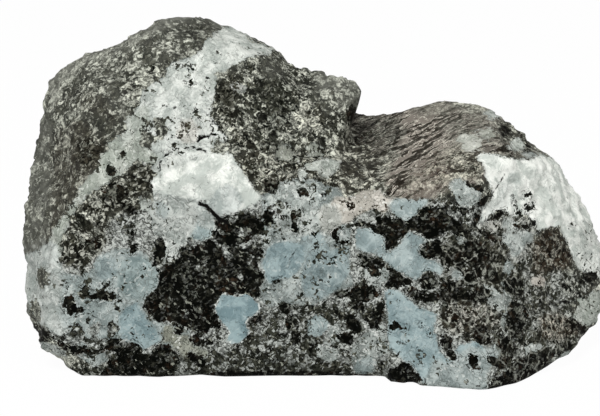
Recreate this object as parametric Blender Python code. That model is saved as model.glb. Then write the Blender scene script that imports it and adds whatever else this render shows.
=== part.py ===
# Partly polished larimar: one natural stone of blue and white pectolite grown through dark, speckled
# basalt. The front is ground flat and polished. The other sides are broken and weathered, and the
# underside is a flat that the stone rests on.
#
# Lengths are millimetres until the mesh is made, which is in metres. X runs to the right as the front
# is seen, Y runs into the stone and Z runs up from the resting flat.

import bmesh
import bpy
import numpy as np

# Driving dimensions, millimetres
stoneLength = 120.0
restingEdge = 3.0
lumpSize = 11.0
lumpHeight = 1.5
chipSize = 5.5
chipHeight = 0.7
polishedDepth = 0.4
polishedRim = 2.0
smoothFoot = 3.0

# Share of the lumps and chips left on the polished front, and how sharply broken faces meet
polishedShare = 0.22
faceSharpness = 9.0

# The surface is found along rays from a point inside the stone, one ray for each point of a divided box.
heart = np.array([-7.0, -1.0, 22.0])
boxHalfSize = np.array([62.0, 31.0, 33.0])
boxSquares = (45, 23, 25)
outlineSquares = (112, 58, 62)
rayLength = 110.0
halvings = 26

# Where the front view is taken from, what it looks at, and the pixels of that view
eye = np.array([-3.1, -273.6, 126.3])
aim = np.array([-3.1, 0.0, 26.7])
viewMiddle = np.array([300.0, 208.0])
viewFocal = 1416.7

# Facets: a point on the facet, the direction it faces, and how softly it meets the ones before it
polishedFront = {
    "polished front": ((-3, -23.8, 0), (0.01, -0.99, 0.10), 1.0),
}
toe = {
    "toe, left side": ((31.5, -30.8, 0), (-0.33, -0.91, 0.24), 1.0),
    "toe, right side": ((31.5, -30.8, 0), (0.49, -0.84, 0.23), 3.0),
}
highBlock = {
    "upper left slab": ((-35.6, -12, 53.4), (-0.46, -0.48, 0.75), 2.0),
    "upper left end": ((-52, 7, 53.5), (-0.72, -0.20, 0.66), 2.0),
    "slope of the white vein": ((-22, -10, 51.5), (0.05, -0.76, 0.64), 3.0),
    "crown": ((-26, 4, 69.8), (0.42, 0.05, 0.90), 2.0),
    "left crown": ((-44, 8, 59.2), (-0.36, 0.10, 0.93), 2.0),
    "knob, top": ((0, 3, 52.6), (0.30, -0.10, 0.95), 3.0),
    "knob, front": ((-3, -9, 43.0), (0.44, -0.64, 0.63), 3.0),
    "knob, overhanging side": ((8.9, 5, 50), (0.96, -0.16, -0.20), 1.5),
    "knob, back": ((8.0, 8, 50), (0.50, 0.84, 0.20), 2.0),
    "high back": ((-20, 10, 63.5), (0.05, 0.62, 0.78), 4.0),
    "high back, left": ((-40, 16, 54), (-0.35, 0.66, 0.66), 4.0),
}
bench = {
    "bench": ((-3, -19.0, 38.6), (0.06, -0.36, 0.92), 2.0),
    "bench, gully side": ((3, -10, 40.0), (0.42, -0.16, 0.88), 2.0),
    "bench, back": ((-3, 14, 38), (0.20, 0.90, 0.30), 3.0),
}
lowBlock = {
    "streaked slope": ((14, -2, 40.0), (-0.25, -0.12, 0.96), 2.0),
    "plateau": ((32, 4, 46.6), (0.06, 0.02, 0.99), 3.0),
    "right shoulder": ((47.0, 4, 36.4), (0.58, -0.06, 0.81), 2.0),
    "right shoulder, end": ((53.8, -1, 28.0), (0.84, -0.14, 0.53), 2.0),
    "low back slope": ((20, 16, 44.2), (0.05, 0.62, 0.78), 3.0),
    "low back, right": ((38, 20, 36), (0.46, 0.60, 0.65), 4.0),
}
allRound = {
    "left flank": ((-59.3, -6, 28), (-0.78, -0.46, 0.42), 1.5),
    "left end": ((-58.8, 4, 24), (-0.98, 0.08, 0.04), 2.0),
    "lower left flank": ((-58.2, -12, 18), (-0.90, -0.36, -0.20), 2.0),
    "lower left chip": ((-56.6, -19, 5.5), (-0.66, -0.20, -0.72), 3.0),
    "right front": ((36, -23.5, 15), (0.58, -0.76, 0.28), 4.0),
    "right end": ((61.4, -2, 13.8), (0.96, -0.20, 0.18), 4.0),
    "lower right chip": ((56.4, -14, 6.0), (0.58, 0.0, -0.78), 5.0),
    "back": ((-10, 31, 20), (-0.04, 0.99, 0.10), 3.0),
    "back, right": ((24, 29.5, 20), (0.26, 0.96, 0.04), 3.0),
    "back, left end": ((-46, 24, 20), (-0.66, 0.74, 0.12), 4.0),
    "back, right end": ((48, 19, 20), (0.66, 0.72, 0.18), 4.0),
    "undercut back": ((0, 29.5, 3), (0.0, 0.66, -0.75), 4.0),
    "undercut right end": ((54, 14, 4), (0.62, 0.40, -0.68), 4.0),
}

# Round hollows broken out of the back: middle, radius, and how softly the rim is rounded
hollows = {
    "back scoop": ((14, 49, 33), 22.0, 3.0),
    "back left bite": ((-46, 41, 8), 16.0, 2.5),
    "crown dent": ((-2, 30, 66), 17.0, 3.0),
}

# Swells and dents of the front view: middle and half sizes in its pixels, and height in millimetres
swells = {
    "white block": ((207, 178), (42, 24), 1.8),
    "dent under the white block": ((218, 222), (34, 8), -0.9),
    "top of the white vein": ((232, 56), (34, 18), 1.0),
    "middle of the white vein": ((182, 112), (20, 36), 0.7),
    "knob lump": ((284, 96), (28, 24), 1.1),
    "knob lump by the tip": ((334, 100), (18, 14), 0.9),
    "crease under the knob": ((300, 152), (46, 6), -0.7),
    "notch beside the knob": ((352, 124), (8, 16), -1.3),
    "upper left lump": ((100, 92), (34, 20), 0.9),
    "left flank dent": ((52, 170), (14, 34), -0.8),
    "big dark patch": ((205, 285), (56, 36), -0.5),
    "swell of the blue patch": ((425, 335), (34, 44), 0.6),
    "right white mass": ((556, 205), (38, 44), 1.3),
    "right hollow": ((548, 262), (26, 22), -0.8),
    "hump of the streaked slope": ((452, 112), (30, 10), 0.5),
}

# Outline of the stone in the front view's pixels, round from the lower left corner
outline = [
    (75, 373), (62, 364), (50, 357), (36, 342), (33, 326), (29, 300), (24, 270), (25, 235), (22, 212),
    (26, 190), (34, 165), (35, 135), (39, 110), (47, 88), (62, 70), (80, 57), (100, 50), (122, 43),
    (137, 33), (150, 25), (165, 18), (185, 15), (205, 17), (225, 25), (245, 34), (261, 43), (273, 46),
    (280, 56), (298, 69), (320, 71), (340, 77), (353, 83), (358, 92), (356, 103), (352, 112), (375, 114),
    (400, 113), (412, 109), (430, 103), (450, 100), (468, 104), (480, 109), (495, 113), (508, 120),
    (522, 134), (538, 152), (550, 161), (562, 180), (576, 196), (590, 216), (600, 236), (606, 258),
    (607, 285), (603, 306), (589, 322), (585, 338), (572, 354), (545, 371), (520, 380), (500, 385),
    (482, 391), (460, 387), (440, 385), (405, 382), (385, 376), (340, 375), (300, 377), (240, 376),
    (200, 374), (150, 378), (110, 376),
]

# The fit to the outline: sectors of the view, sectors blended together, and the height above the flat, in
# millimetres, over which the fit fades in
outlineSectors = 180
outlineBlend = 1.5
outlineFade = 6.0

# Average colour of the whole stone, and its finish
stoneColour = (0.165, 0.17, 0.16, 1.0)
stoneRoughness = 0.55


def unit(vectors):
    vectors = np.asarray(vectors, float)
    return vectors / np.linalg.norm(vectors, axis=-1, keepdims=True)


def smoothStep(x):
    t = np.clip(x, 0.0, 1.0)
    return t * t * (3.0 - 2.0 * t)


# Larger of two values, rounded over where they differ by less than the softness
def softMax(a, b, softness):
    near = np.maximum(softness - np.abs(a - b), 0.0)
    return np.maximum(a, b) + near * near / (4.0 * softness)


def softMin(a, b, softness):
    return -softMax(-a, -b, softness)


# Distance outside a convex block: the largest distance in front of any of its facets
def blockField(points, facets):
    value = None
    for place, direction, softness in facets.values():
        distance = (points - np.asarray(place, float)) @ unit(direction)
        value = distance if value is None else softMax(value, distance, softness)
    return value


# Below zero inside the stone: three blocks joined, cut by the front and the other sides, then hollowed
def stoneField(points):
    value = softMin(blockField(points, bench), blockField(points, lowBlock), 3.0)
    value = softMin(blockField(points, highBlock), value, 2.0)
    front = softMin(blockField(points, polishedFront), blockField(points, toe), 8.0)
    value = softMax(value, front, 7.0)
    value = softMax(value, blockField(points, allRound), 2.5)
    for middle, radius, softness in hollows.values():
        depth = radius - np.linalg.norm(points - np.asarray(middle, float), axis=1)
        value = softMax(value, depth, softness)
    return softMax(value, -points[:, 2], restingEdge)


# Repeated halving finds where each ray leaves the stone
def surfaceRadius(rays):
    inner = np.zeros(len(rays))
    outer = np.full(len(rays), rayLength)
    for _ in range(halvings):
        middle = 0.5 * (inner + outer)
        inside = stoneField(heart + rays * middle[:, None]) < 0.0
        inner = np.where(inside, middle, inner)
        outer = np.where(inside, outer, middle)
    return 0.5 * (inner + outer)


# A repeatable number from 0 to 1 for each lattice cell
def cellNumber(cells, seed):
    mask = 0xFFFFFFFF
    mixed = (cells[:, 0] * 73856093) ^ (cells[:, 1] * 19349663) ^ (cells[:, 2] * 83492791)
    mixed = (mixed ^ (seed * 40503)) & mask
    mixed = ((mixed ^ (mixed >> 15)) * 0x2C1B3C6D) & mask
    mixed = ((mixed ^ (mixed >> 12)) * 0x297A2D39) & mask
    return (mixed ^ (mixed >> 15)) / (mask + 1.0)


# Broken faces: every cell has its own tilted plane, and a point takes the planes of the cells nearest it
def brokenFaces(points, size, seed):
    scaled = points / size
    home = np.floor(scaled).astype(np.int64)
    total = np.zeros(len(points))
    weights = np.zeros(len(points))
    for step in np.ndindex(3, 3, 3):
        cells = home + np.array(step) - 1
        jitter = np.stack([cellNumber(cells, seed + k) for k in range(3)], axis=1)
        tilt = np.stack([cellNumber(cells, seed + 10 + k) for k in range(3)], axis=1) - 0.5
        offset = scaled - (cells + 0.5 + 0.8 * (jitter - 0.5))
        weight = np.exp(-faceSharpness * (offset * offset).sum(axis=1))
        total += weight * (2.0 * (offset * tilt).sum(axis=1) + cellNumber(cells, seed + 20) - 0.5)
        weights += weight
    return total / weights


# Places in the front view's pixels, with the distance from the eye and the view's two directions
def frontView(points):
    backward = unit(eye - aim)
    rightward = unit(np.cross([0.0, 0.0, 1.0], backward))
    upward = np.cross(backward, rightward)
    away = points - eye
    distance = -(away @ backward)
    across = viewMiddle[0] + viewFocal * (away @ rightward) / distance
    down = viewMiddle[1] - viewFocal * (away @ upward) / distance
    return np.stack([across, down], axis=1), distance, rightward, upward


# Heights of the swells and dents at points of the front
def swellHeight(points, facing):
    pixels = frontView(points)[0]
    height = np.zeros(len(points))
    for middle, half, rise in swells.values():
        offset = (pixels - np.array(middle)) / np.array(half)
        height += rise * np.exp(-(offset * offset).sum(axis=1))
    return height * smoothStep(3.0 * facing)


# Distance from the middle to the outline in each direction, where each ray crosses the outline's edges
def outlineRadius(angles, middle):
    corners = np.array(outline, float) - middle
    rays = np.stack([np.cos(angles), np.sin(angles)], axis=1)
    radius = np.zeros(len(angles))
    for start, end in zip(corners, np.roll(corners, -1, axis=0)):
        edge = end - start
        spread = rays[:, 0] * edge[1] - rays[:, 1] * edge[0]
        spread = np.where(np.abs(spread) < 1e-9, 1e-9, spread)
        along = (start[0] * edge[1] - start[1] * edge[0]) / spread
        share = (start[0] * rays[:, 1] - start[1] * rays[:, 0]) / spread
        crosses = (share >= 0.0) & (share <= 1.0) & (along > radius)
        radius = np.where(crosses, along, radius)
    return radius


# How far each sector of the front view reaches, and the stretch that takes it to the outline
def outlineStretch(points):
    middle = frontView(heart[None])[0][0]
    offset = frontView(points)[0] - middle
    reach = np.hypot(offset[:, 0], offset[:, 1])
    turn = (np.arctan2(offset[:, 1], offset[:, 0]) + np.pi) / (2.0 * np.pi) * outlineSectors
    widest = np.zeros(outlineSectors)
    np.maximum.at(widest, np.floor(turn).astype(int) % outlineSectors, reach)
    angles = (np.arange(outlineSectors) + 0.5) / outlineSectors * 2.0 * np.pi - np.pi
    stretch = outlineRadius(angles, middle) / widest
    steps = np.arange(-5, 6)
    blend = np.exp(-0.5 * (steps / outlineBlend) ** 2)
    blend = blend / blend.sum()
    stretch = sum(share * np.roll(stretch, step) for share, step in zip(blend, steps))
    widest = sum(share * np.roll(widest, step) for share, step in zip(blend, steps))
    return widest, stretch


# Moves the points across the front view by the stretch of their sector, the more the nearer to its edge
def fitOutline(points, widest, stretch):
    pixels, distance, rightward, upward = frontView(points)
    offset = pixels - frontView(heart[None])[0][0]
    reach = np.hypot(offset[:, 0], offset[:, 1])
    turn = (np.arctan2(offset[:, 1], offset[:, 0]) + np.pi) / (2.0 * np.pi) * outlineSectors - 0.5
    sector = np.floor(turn).astype(int)
    part = turn - sector
    here = sector % outlineSectors
    after = (sector + 1) % outlineSectors
    localStretch = stretch[here] * (1.0 - part) + stretch[after] * part
    localWidest = widest[here] * (1.0 - part) + widest[after] * part
    share = np.clip(reach / localWidest, 0.0, 1.0) ** 2 * smoothStep(points[:, 2] / outlineFade)
    move = (localStretch - 1.0) * share * distance / viewFocal
    return points + move[:, None] * (offset[:, :1] * rightward - offset[:, 1:] * upward)


# The broken surface before its outline is fitted: the facets with their lumps, chips, swells and dents
def brokenSurface(rays):
    points = heart + rays * surfaceRadius(rays)[:, None]
    place, direction, _ = polishedFront["polished front"]
    fromFront = np.abs((points - np.asarray(place, float)) @ unit(direction))
    roughShare = polishedShare + (1.0 - polishedShare) * smoothStep((fromFront - polishedDepth) / polishedRim)
    relief = lumpHeight * brokenFaces(points, lumpSize, 3) + chipHeight * brokenFaces(points, chipSize, 7)
    facing = -(rays @ unit(aim - eye))
    height = roughShare * relief + swellHeight(points, facing)
    height *= smoothStep(points[:, 2] / smoothFoot)
    return points + rays * height[:, None]


# The fitted surface, standing on its flat about its own middle. Fine rays find the outline's stretch.
def stoneSurface(rays, fineRays):
    widest, stretch = outlineStretch(brokenSurface(fineRays))
    points = fitOutline(brokenSurface(rays), widest, stretch)
    points[:, 2] = np.maximum(points[:, 2], 0.0)
    low = points.min(axis=0)
    high = points.max(axis=0)
    middle = 0.5 * (low + high) * np.array([1.0, 1.0, 0.0])
    return (points - middle) * stoneLength / (high[0] - low[0])


def makeMaterial():
    material = bpy.data.materials.new("larimar and basalt")
    material.use_nodes = True
    shader = material.node_tree.nodes["Principled BSDF"]
    shader.inputs["Base Color"].default_value = stoneColour
    shader.inputs["Roughness"].default_value = stoneRoughness
    shader.inputs["Metallic"].default_value = 0.0
    return material


# A box with each side divided into squares
def dividedBox(squares):
    box = bmesh.new()
    bmesh.ops.create_cube(box, size=2.0)
    for axis, count in enumerate(squares):
        alongAxis = [edge for edge in box.edges if abs(edge.verts[0].co[axis] - edge.verts[1].co[axis]) > 1.0]
        bmesh.ops.subdivide_edges(box, edges=alongAxis, cuts=count - 1, use_grid_fill=True)
    return box


# Directions from the heart through the points of a divided box
def boxRays(box):
    places = np.array([vertex.co[:] for vertex in box.verts])
    return unit(unit(np.tan(places * np.pi / 4.0)) * boxHalfSize)


# The divided box is drawn out to the stone's surface, ray by ray
def makeStone():
    outlineBox = dividedBox(outlineSquares)
    divided = dividedBox(boxSquares)
    surface = stoneSurface(boxRays(divided), boxRays(outlineBox)) / 1000.0
    outlineBox.free()
    for vertex, place in zip(divided.verts, surface):
        vertex.co = place
    bmesh.ops.recalc_face_normals(divided, faces=divided.faces[:])
    mesh = bpy.data.meshes.new("larimar_stone")
    divided.to_mesh(mesh)
    divided.free()
    mesh.shade_smooth()
    mesh.materials.append(makeMaterial())
    stone = bpy.data.objects.new("larimar_stone", mesh)
    bpy.context.scene.collection.objects.link(stone)
    return stone


for leftover in list(bpy.data.objects):
    bpy.data.objects.remove(leftover, do_unlink=True)
makeStone()
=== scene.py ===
import bpy
import numpy as np
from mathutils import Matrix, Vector


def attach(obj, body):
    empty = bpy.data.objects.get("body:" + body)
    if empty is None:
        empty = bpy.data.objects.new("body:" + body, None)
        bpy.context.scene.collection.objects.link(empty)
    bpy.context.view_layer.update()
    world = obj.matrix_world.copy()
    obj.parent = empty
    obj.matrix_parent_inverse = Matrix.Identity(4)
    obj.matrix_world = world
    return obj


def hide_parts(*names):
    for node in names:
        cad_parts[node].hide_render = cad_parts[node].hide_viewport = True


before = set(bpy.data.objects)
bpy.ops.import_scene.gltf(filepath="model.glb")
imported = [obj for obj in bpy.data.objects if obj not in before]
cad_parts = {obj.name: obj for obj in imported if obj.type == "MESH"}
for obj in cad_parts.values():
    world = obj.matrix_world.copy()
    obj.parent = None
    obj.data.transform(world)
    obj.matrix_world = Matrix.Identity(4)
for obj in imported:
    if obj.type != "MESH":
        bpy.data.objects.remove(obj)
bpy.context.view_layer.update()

# The stone's mesh: squares across and up each of its two sheets, half the stone's size along the view's
# three directions, how many degrees round the front sheet reaches, and lengths in millimetres
stoneMesh = {
    "squares": (280, 170),
    "halfSize": (62.0, 33.0, 31.0),
    "middleSpread": 75.0,
    "rimSpread": 25.0,
    "rimPower": 6,  # how late the second spread sets in
    "length": 120.0,
    "smoothFoot": 3.0,  # height over which the relief fades to the flat it rests on
    "slopeStep": 0.4,  # distance over which a slope is measured
    "swellFacing": 3.0,  # how soon swells start on parts that face the viewer
}

# The stone is broken into lumps and chips: cell size and height in millimetres, and a seed for each
stoneRelief = {
    "lumps": (11.0, 1.5, 3),
    "chips": (5.5, 0.7, 7),
    "flakes": (2.3, 0.60, 11),
    "grit": (1.15, 0.34, 17),
    "ridges": (1.6, 0.85, 23),
    "ridgeRun": (0.82, 0.49, 0.28),
    "ridgeStretch": 4.0,
    "jitter": 0.8,
    "sharpness": 9.0,
    "polishedShare": 0.22,
    "polishedDepth": 0.4,
    "polishedRim": 2.0,
    "polishedFine": 0.85,  # share of flakes and grit that polish takes away
    "grooveBlend": 0.5,
    "grooveDepth": 0.35,
}

heart = np.array([-7.0, -1.0, 22.0])  # the point inside the stone that all rays start from
rayLength = 110.0  # longer than any way out
halvings = 24
tiny = 1e-9  # keeps divisions away from zero
perMetre = 1000.0  # millimetres in a metre

# Where the front view is taken from, what it looks at, and the pixels of that view
eye = np.array([-3.1, -273.6, 126.3])
aim = np.array([-3.1, 0.0, 26.7])
viewMiddle = np.array([300.0, 208.0])
viewFocal = 1416.7
pixelSize = 0.205

# Facets: a point on the facet, the direction it faces, and how softly it meets the ones before it
polishedFront = {
    "polished front": ((-3, -23.8, 0), (0.01, -0.99, 0.10), 1.0),
}
toe = {
    "toe, left side": ((31.5, -30.8, 0), (-0.33, -0.91, 0.24), 1.0),
    "toe, right side": ((31.5, -30.8, 0), (0.49, -0.84, 0.23), 3.0),
}
highBlock = {
    "upper left slab": ((-35.6, -12, 53.4), (-0.46, -0.48, 0.75), 2.0),
    "upper left end": ((-52, 7, 53.5), (-0.72, -0.20, 0.66), 2.0),
    "slope of the white vein": ((-22, -10, 51.5), (0.05, -0.76, 0.64), 3.0),
    "crown": ((-26, 4, 69.8), (0.42, 0.05, 0.90), 2.0),
    "left crown": ((-44, 8, 59.2), (-0.36, 0.10, 0.93), 2.0),
    "knob, top": ((0, 3, 52.6), (0.30, -0.10, 0.95), 3.0),
    "knob, front": ((-3, -9, 43.0), (0.44, -0.64, 0.63), 3.0),
    "knob, overhanging side": ((8.9, 5, 50), (0.96, -0.16, -0.20), 1.5),
    "knob, back": ((8.0, 8, 50), (0.50, 0.84, 0.20), 2.0),
    "high back": ((-20, 10, 63.5), (0.05, 0.62, 0.78), 4.0),
    "high back, left": ((-40, 16, 54), (-0.35, 0.66, 0.66), 4.0),
}
bench = {
    "bench": ((-3, -19.0, 38.6), (0.06, -0.36, 0.92), 2.0),
    "bench, gully side": ((3, -10, 40.0), (0.42, -0.16, 0.88), 2.0),
    "bench, back": ((-3, 14, 38), (0.20, 0.90, 0.30), 3.0),
}
lowBlock = {
    "streaked slope": ((14, -2, 40.0), (-0.25, -0.12, 0.96), 2.0),
    "plateau": ((32, 4, 46.6), (0.06, 0.02, 0.99), 3.0),
    "right shoulder": ((47.0, 4, 36.4), (0.58, -0.06, 0.81), 2.0),
    "right shoulder, end": ((53.8, -1, 28.0), (0.84, -0.14, 0.53), 2.0),
    "low back slope": ((20, 16, 44.2), (0.05, 0.62, 0.78), 3.0),
    "low back, right": ((38, 20, 36), (0.46, 0.60, 0.65), 4.0),
}
allRound = {
    "left flank": ((-59.3, -6, 28), (-0.78, -0.46, 0.42), 1.5),
    "left end": ((-58.8, 4, 24), (-0.98, 0.08, 0.04), 2.0),
    "lower left flank": ((-58.2, -12, 18), (-0.90, -0.36, -0.20), 2.0),
    "lower left chip": ((-56.6, -19, 5.5), (-0.66, -0.20, -0.72), 3.0),
    "right front": ((36, -23.5, 15), (0.58, -0.76, 0.28), 4.0),
    "right end": ((61.4, -2, 13.8), (0.96, -0.20, 0.18), 4.0),
    "lower right chip": ((56.4, -14, 6.0), (0.58, 0.0, -0.78), 5.0),
    "back": ((-10, 31, 20), (-0.04, 0.99, 0.10), 3.0),
    "back, right": ((24, 29.5, 20), (0.26, 0.96, 0.04), 3.0),
    "back, left end": ((-46, 24, 20), (-0.66, 0.74, 0.12), 4.0),
    "back, right end": ((48, 19, 20), (0.66, 0.72, 0.18), 4.0),
    "undercut back": ((0, 29.5, 3), (0.0, 0.66, -0.75), 4.0),
    "undercut right end": ((54, 14, 4), (0.62, 0.40, -0.68), 4.0),
}

# How softly the blocks join, and how softly the other surfaces cut them
stoneJoins = {"bench": 3.0, "high block": 2.0, "toe": 8.0, "front": 7.0, "other sides": 2.5, "flat": 1.2}

# Round hollows broken out of the back: middle, radius, and how softly the rim is rounded
hollows = {
    "back scoop": ((14, 49, 33), 22.0, 3.0),
    "back left bite": ((-46, 41, 8), 16.0, 2.5),
    "crown dent": ((-2, 30, 66), 17.0, 3.0),
}

# Swells and dents of the front view: middle and half sizes in its pixels, and height in millimetres
swells = {
    "white block": ((207, 178), (42, 24), 1.8),
    "dent under the white block": ((218, 222), (34, 8), -0.9),
    "top of the white vein": ((232, 56), (34, 18), 1.0),
    "middle of the white vein": ((182, 112), (20, 36), 0.7),
    "knob lump": ((284, 96), (28, 24), 1.1),
    "knob lump by the tip": ((334, 100), (18, 14), 0.9),
    "crease under the knob": ((300, 152), (46, 6), -0.7),
    "notch beside the knob": ((352, 124), (8, 16), -1.3),
    "upper left lump": ((100, 92), (34, 20), 0.9),
    "left flank dent": ((52, 170), (14, 34), -0.8),
    "big dark patch": ((205, 285), (56, 36), -0.5),
    "swell of the blue patch": ((425, 335), (34, 44), 0.6),
    "right white mass": ((556, 205), (38, 44), 1.3),
    "right hollow": ((548, 262), (26, 22), -0.8),
    "hump of the streaked slope": ((446, 106), (26, 10), 0.6),
    "dip before the hump": ((388, 112), (20, 9), -0.9),
}

# Outline of the stone in the front view's pixels, round from the lower left corner
outline = [
    77,370, 64,361, 50,355, 29,342, 30,326, 28,300, 25,270, 25,235, 22,212, 27,190, 36,165, 36,135,
    41,110, 49,87, 60,68, 77,55, 100,50, 122,43, 137,33, 150,25, 165,17, 185,13, 205,15, 225,25, 245,33,
    261,42, 275,40, 281,57, 298,70, 320,71, 340,76, 355,81, 364,90, 361,104, 353,113, 375,115, 396,115,
    410,110, 425,99, 445,95, 466,100, 480,109, 497,110, 512,117, 518,130, 534,146, 556,153, 568,175,
    577,195, 590,216, 600,236, 606,258, 607,285, 604,308, 591,326, 589,346, 582,361, 553,378, 520,384,
    500,388, 482,391, 460,388, 440,386, 400,382, 385,375, 345,374, 300,377, 240,377, 200,375, 160,378,
    110,375]

# How far the front foot stands back along the view: pixels across, and millimetres
footEdge = [
    (52, 1.7), (72, 1.5), (82, 0.3), (140, 0.0), (160, -0.4), (182, 0.1), (200, 0.4), (225, -0.3),
    (262, -0.2), (300, 0.1), (345, 0.9), (385, 1.9), (391, -0.3), (404, -0.3), (411, 0.6), (416, 0.4),
    (421, -0.7), (438, -0.2), (470, 0.4), (500, -0.6), (515, -0.9), (535, 0.0),
]
footReach = 8.0  # height at which nothing is set back any more
footDepth = 12.0  # distance in front of the middle at which all of it is

outlineSectors = 180  # parts of the circle that are fitted to the outline
outlineBlend = 1.5  # width in parts of the bell that blends them
outlineSpan = 5  # how many parts on each side it reaches
outlineFade = 6.0  # height over which the fitting fades to nothing at the flat

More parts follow.
